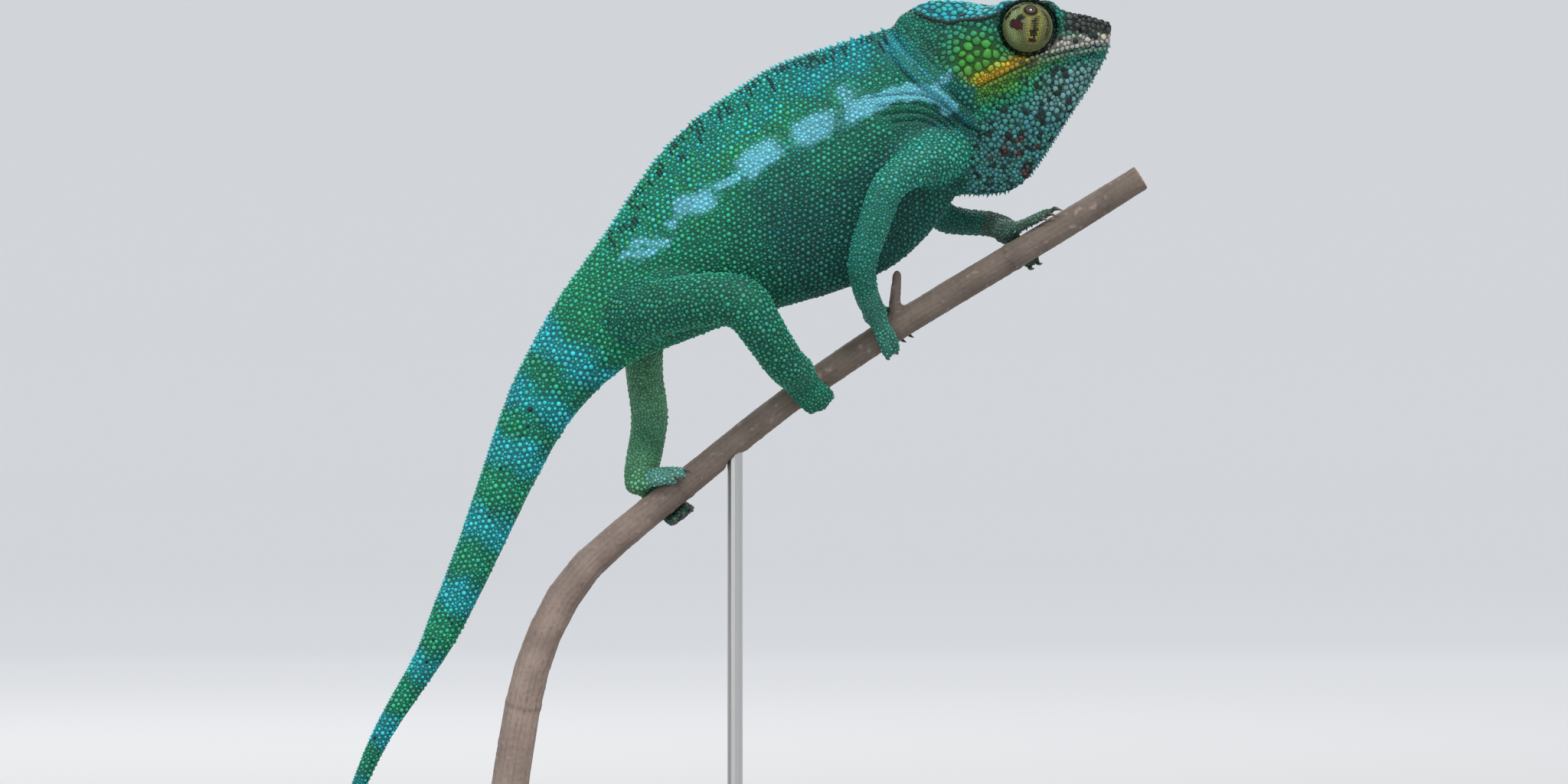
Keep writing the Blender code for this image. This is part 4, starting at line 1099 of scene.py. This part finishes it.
BALL_RADIUS, BALL_OUT = 2.6, 6.4              # the eyeball's radius, and how far out it sits in the turret
LID_OPEN, LID_THICK, LID_DEEP = math.radians(9.5), 0.32, 2.4
FOLD_STEP, FOLD_DEPTH = 0.18, 0.014           # folds round the turret: the angle apart, the share of radius


def along_look(bm, look, centre):
    """Turn a shape made along Z to face a direction, from a centre."""
    turned = Vector((0, 0, 1)).rotation_difference(look).to_matrix().to_4x4()
    bmesh.ops.transform(bm, matrix=Matrix.Translation(Vector(centre)) @ turned, verts=bm.verts)


def piece_from(name, bm, tint=None):
    """A smooth-shaded piece from a bmesh in millimetres, with a colour for each point."""
    mesh = mesh_of(name, bm)
    if tint is not None:
        set_tint(mesh, tint)
    mesh.transform(Matrix.Scale(MM, 4))
    mesh.shade_smooth()
    return placed(name, mesh)


eye_glass = tinted("eye_glass", 0.15, 400.0, 0.00001, 1.0)
for side_of, side_name in ((-1, "right"), (1, "left")):
    dome = bmesh.new()
    bmesh.ops.create_uvsphere(dome, u_segments=72, v_segments=72, radius=TURRET_RADIUS - 0.22)
    for v in dome.verts:
        tilt = v.co.angle(Vector((0, 0, 1)), 0.0)
        lid = BALL_RADIUS + LID_THICK
        over_ball = lid ** 2 - (BALL_OUT * math.sin(tilt)) ** 2
        if tilt < 0.5 and over_ball > 0:
            reach_out = BALL_OUT * math.cos(tilt) + math.sqrt(over_ball)
            far = max(v.co.length, reach_out)
            if tilt < LID_OPEN:
                far -= LID_DEEP * (1 - tilt / LID_OPEN) + 0.5
            v.co = v.co.normalized() * far
        if tilt > 0.22:
            v.co *= 1 - FOLD_DEPTH * (0.5 + 0.5 * math.cos(tilt * 2 * math.pi / FOLD_STEP))
    along_look(dome, EYE_LOOK[side_of], eye_centre(side_of))
    points = np.array([v.co for v in dome.verts]) - eye_centre(side_of)
    turret = piece_from("turret_" + side_name, dome, turret_tone(points, side_of) * 0.7)
    fit_out(turret, hide_finish, "turret", "eye_turret_" + side_name)

    ball = bmesh.new()
    bmesh.ops.create_uvsphere(ball, u_segments=48, v_segments=48, radius=BALL_RADIUS)
    tilts = np.array([v.co.angle(Vector((0, 0, 1)), 0.0) for v in ball.verts])
    golden = np.clip(1 - np.abs(tilts - 0.50) / 0.05, 0, 1)[:, None]
    shades = dye(10, 9, 8) + (dye(176, 132, 52) - dye(10, 9, 8)) * golden
    along_look(ball, EYE_LOOK[side_of], eye_centre(side_of) + np.array(EYE_LOOK[side_of]) * BALL_OUT)
    eye = piece_from("eye_" + side_name, ball, shades)
    fit_out(eye, eye_glass, "eye", "eyeball_" + side_name)


# ---- Claw horn ------------------------------------------------------------------------------------
# The claws found above, each a tapered hook of dark horn, paler to its point.

straight = bmesh.new()
bmesh.ops.create_cone(straight, cap_ends=True, segments=10, radius1=1, radius2=1, depth=1)
walls = [e for e in straight.edges if abs(e.verts[0].co.z - e.verts[1].co.z) > 0.5]
bmesh.ops.subdivide_edges(straight, edges=walls, cuts=7)
claw_form = bmesh.new()
for claw_root, ahead, hook in claw_frames:
    claw = straight.copy()
    beside = ahead.cross(hook).normalized()
    for v in claw.verts:
        s = v.co.z + 0.5
        thick = CLAW_RADIUS * (0.07 + 0.93 * (1 - s ** 1.5))
        on_curve = claw_root + ahead * CLAW_LENGTH * s + hook * CLAW_LENGTH * CLAW_HOOK * s * s
        onwards = (ahead + hook * CLAW_HOOK * 2 * s).normalized()
        v.co = on_curve + beside * v.co.x * thick * 0.75 + onwards.cross(beside) * v.co.y * thick
    claw_form.from_mesh(mesh_of("claw", claw))
horn = np.tile([v.co.z + 0.5 for v in straight.verts], len(claw_frames))[:, None]
straight.free()
bmesh.ops.recalc_face_normals(claw_form, faces=claw_form.faces)
HORN_DARK, HORN_PALE = dye(58, 54, 50), dye(120, 112, 98)
claws = piece_from("claws", claw_form, HORN_DARK + (HORN_PALE - HORN_DARK) * horn ** 2)
fit_out(claws, tinted("claw_horn", 0.35, 400.0, 0.00001, 0.3), "claw")


# ---- Perch ----------------------------------------------------------------------------------------
# A cut branch with its thin smooth bark on: fine lengthwise ridges, scattered pores, a few knots, and
# pale sawn wood at its ends. The bark is worked from the perch's solid, a little inside its faces.

BARK_GRAIN = 0.55          # millimetres between points of the bark

branch = placed("branch", mesh_of("branch", perch_solid))
with_modifier(branch, "REMESH", mode="VOXEL", voxel_size=BARK_GRAIN)
place, edges, neighbours = points_and_edges(branch)
BRANCH = [
    # x, z and radius of the branch's middle line, from its low end to its high end
    (-80.2, 62, 6.7), (-74.8, 98, 6.4), (-68, 122.3, 6.1), (-55.8, 143.5, 5.7), (-37, 160.5, 5.4),
    (-17, 176.5, 5.1), (5, 194.5, 4.8), (29.5, 212.3, 4.9), (55, 228.8, 5), (80, 243.8, 5), (105, 259, 4.9),
    (127.5, 273, 4.6),
]
pith = curve_through(BRANCH, 120)
flat = place[:, [0, 2]]
offset, side, row = on_line(flat, pith)
pith_length = length_along(pith)
up_branch, branch_radius = at_row(pith_length), at_row(pith[:, 2])
from_pith = np.hypot(offset, place[:, 1])
turned = np.arctan2(place[:, 1], side * offset)
from_end = np.minimum(up_branch, pith_length[-1] - up_branch)
sawn = (from_end < 0.6) & (from_pith < branch_radius - 0.35)
place = evened(place, 14, np.where(from_end < 2, 0.0, 0.6))
branch.data.vertices.foreach_set("co", place.ravel())
branch.data.update()
outward = array_of(branch.data.vertex_normals, "vector")
sway = mottle(np.stack([up_branch / 9, turned * 1.2, turned * 0], 1), 1.0, 9) * 6
ridges = np.sin(turned * 17 + sway) * 0.5 + np.sin(turned * 31 - sway * 1.7) * 0.35
grit = mottle(place, 0.9, 12) - 0.5
pores = np.clip((mottle(place, 1.6, 13) - 0.78) * 8, 0, 1)
knots = sum(hump(up_branch - knot_at - np.sin(turned) * 1.6, 0.9) for knot_at in (40.0, 131.0, 262.0))
relief = ridges * 0.06 + grit * 0.16 + pores * 0.14 + knots * 0.22 - 0.22
relief = np.where(sawn, 0.05 * np.sin(from_pith * 5.0), relief)
place = place + outward * relief[:, None]
branch.data.vertices.foreach_set("co", place.ravel())

BARK_GREY, BARK_PINK, BARK_DARK = dye(108, 97, 89), dye(146, 129, 119), dye(60, 53, 48)
WOOD_PALE, WOOD_RING = dye(188, 158, 116), dye(150, 114, 76)
low_share = np.clip(1.25 - up_branch / 150, 0, 1)[:, None]
bark = BARK_GREY + (BARK_PINK - BARK_GREY) * low_share
bark = bark * (0.8 + 0.4 * mottle(place, 6.0, 14))[:, None]
in_pits = np.clip(-ridges * 0.22 + knots * 0.3 + np.clip(grit, 0, 1) * 0.55, 0, 0.7)
bark += (BARK_DARK - bark) * in_pits[:, None]
bark += (BARK_PINK * 1.2 - bark) * (pores * 0.5)[:, None]
in_ring = 0.5 + 0.5 * np.sin(from_pith * 5.0 + np.sin(turned * 3) * 0.4)
wood = WOOD_PALE + (WOOD_RING - WOOD_PALE) * in_ring[:, None]
set_tint(branch.data, np.where(sawn[:, None], wood, bark))
branch.data.transform(Matrix.Scale(MM, 4))
branch.data.shade_smooth()
fit_out(branch, tinted("bark", 0.75, 700.0, 0.0003), "bark", "perch")


# ---- Stand ----------------------------------------------------------------------------------------
# A plain walnut board under satin varnish, and two steel rods that rise from turned collars on it.


def stretched(tree, scale, feeds):
    """Noise drawn out along the grain of the wood or the brushing of the steel."""
    where = tree.nodes.new("ShaderNodeTexCoord").outputs["Object"]
    drawn = add_node(tree, "ShaderNodeMapping", {"Vector": where, "Scale": scale}).outputs["Vector"]
    return add_node(tree, "ShaderNodeTexNoise", {"Vector": drawn, **feeds}).outputs["Fac"]


walnut, tree, shader = material_of("walnut", {"Roughness": 0.38, "Coat Weight": 0.25, "Coat Roughness": 0.25})
along_board = stretched(tree, (6.0, 60.0, 60.0), {"Scale": 1.6, "Detail": 6.0, "Distortion": 0.8})
streaks = stretched(tree, (6.0, 60.0, 60.0), {"Scale": 14.0, "Detail": 4.0})
both = add_node(tree, "ShaderNodeMix", {"Factor": 0.4, 2: along_board, 3: streaks})
shades = add_node(tree, "ShaderNodeValToRGB", {"Fac": both.outputs[0]})
dark_wood, pale_wood = shades.color_ramp.elements
dark_wood.position, dark_wood.color = 0.35, (0.030, 0.014, 0.008, 1.0)
pale_wood.position, pale_wood.color = 0.68, (0.125, 0.062, 0.032, 1.0)
pores = add_node(tree, "ShaderNodeBump", {"Strength": 0.25, "Distance": 0.0002, "Height": streaks})
feed(tree, shader, {"Base Color": shades.outputs["Color"], "Normal": pores.outputs["Normal"]})

steel, tree, shader = material_of("brushed_steel", {"Metallic": 1.0, "Base Color": (0.56, 0.56, 0.55, 1.0)})
brushed = stretched(tree, (400.0, 400.0, 12.0), {"Scale": 3.0})
dull = add_node(tree, "ShaderNodeMapRange", {"Value": brushed, "To Min": 0.22, "To Max": 0.42})
feed(tree, shader, {"Roughness": dull.outputs["Result"]})

for name, finish in (("stand_base", walnut), ("stand_rod_rear", steel), ("stand_rod_mid", steel)):
    nodes[name].data.materials.clear()
    nodes[name].data.materials.append(finish)

collars = bmesh.new()
COLLAR = [
    # radius and height above the board, from the rod's foot outwards and up
    (2.55, 0.0), (6.0, 0.0), (6.0, 0.8), (5.4, 1.5), (4.2, 2.0), (3.8, 3.4), (3.5, 5.2), (3.0, 5.6),
    (2.55, 5.6),
]
board_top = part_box("stand_base")[1][2] / MM
for name in ("stand_rod_rear", "stand_rod_mid"):
    low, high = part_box(name)
    middle = Vector(((low[0] + high[0]) / 2, (low[1] + high[1]) / 2, 0)) / MM
    outline = [collars.verts.new(middle + Vector((r, 0, board_top + h))) for r, h in COLLAR]
    lines = [collars.edges.new((a, b)) for a, b in zip(outline, outline[1:])]
    bmesh.ops.spin(
        collars, geom=outline + lines, cent=middle, axis=(0, 0, 1), angle=2 * math.pi,
        steps=48, use_merge=True,
    )
bmesh.ops.remove_doubles(collars, verts=collars.verts, dist=0.01)
bmesh.ops.recalc_face_normals(collars, faces=collars.faces)
fit_out(piece_from("stand_collars", collars), steel, "rod")


# ---- Floor, lights and camera ---------------------------------------------------------------------
# A plain pale floor that slopes up all round, soft lamps above and beside it, and a long lens.

sweep = bmesh.new()
profile = [(0.0, 0.0), (5.0, 0.0), (5.7, 0.06), (6.4, 0.26), (7.1, 0.62), (7.8, 1.15), (8.6, 1.95)]
rim = [sweep.verts.new((r, 0.0, h)) for r, h in profile]
for a, b in zip(rim, rim[1:]):
    sweep.edges.new((a, b))
bmesh.ops.spin(
    sweep, geom=sweep.verts[:] + sweep.edges[:], cent=(0, 0, 0), axis=(0, 0, 1), angle=2 * math.pi,
    steps=72, use_merge=True,
)
bmesh.ops.remove_doubles(sweep, verts=sweep.verts, dist=0.002)
bmesh.ops.recalc_face_normals(sweep, faces=sweep.faces)
floor = placed("floor", mesh_of("floor", sweep))
floor.data.shade_smooth()
paper, tree, shader = material_of("paper", {"Roughness": 0.9})
far = add_node(tree, "ShaderNodeVectorMath", {0: tree.nodes.new("ShaderNodeTexCoord").outputs["Object"]})
far.operation = "LENGTH"
fade = add_node(tree, "ShaderNodeMapRange", {
    "Value": far.outputs["Value"], "From Min": 0.8, "From Max": 2.6, "To Min": 0.52, "To Max": 0.86,
})
feed(tree, shader, {"Base Color": fade.outputs["Result"]})
floor.data.materials.append(paper)


def soft_box(name, place, target, size, power, warmth):
    """A round soft lamp that the camera doesn't see."""
    light = bpy.data.lights.new(name, "AREA")
    light.shape = "DISK"
    light.size, light.energy, light.color = size, power, warmth
    lamp = placed(name, light)
    lamp.location = place
    lamp.rotation_euler = (Vector(target) - Vector(place)).to_track_quat("-Z", "Y").to_euler()
    lamp.visible_camera = False


middle = (0.0, 0.0, 0.22)
soft_box("key", (0.35, -0.9, 1.7), middle, 0.8, 22, (1.0, 0.98, 0.95))
soft_box("fill", (-1.5, -1.4, 0.7), middle, 1.4, 6, (0.93, 0.97, 1.0))
soft_box("back", (-0.4, 1.5, 1.5), middle, 1.0, 13, (1.0, 0.99, 0.97))
world = bpy.data.worlds.new("studio")
world.use_nodes = True
feed(world.node_tree, world.node_tree.nodes["Background"], {"Color": (0.92, 0.95, 1.0, 1.0), "Strength": 0.8})
bpy.context.scene.world = world
bpy.context.scene.view_settings.view_transform = "Standard"

camera_data = bpy.data.cameras.new("camera")
camera_data.sensor_width = 36.0
VIEW_WIDTH, VIEW_DISTANCE = 0.512, 2.0
camera_data.lens = camera_data.sensor_width * VIEW_DISTANCE / VIEW_WIDTH
camera_data.clip_end = 30.0
camera = placed("camera", camera_data)
camera.location = (0.011, -VIEW_DISTANCE, 0.203)
camera.rotation_euler = (math.radians(90), 0, 0)
bpy.context.scene.camera = camera
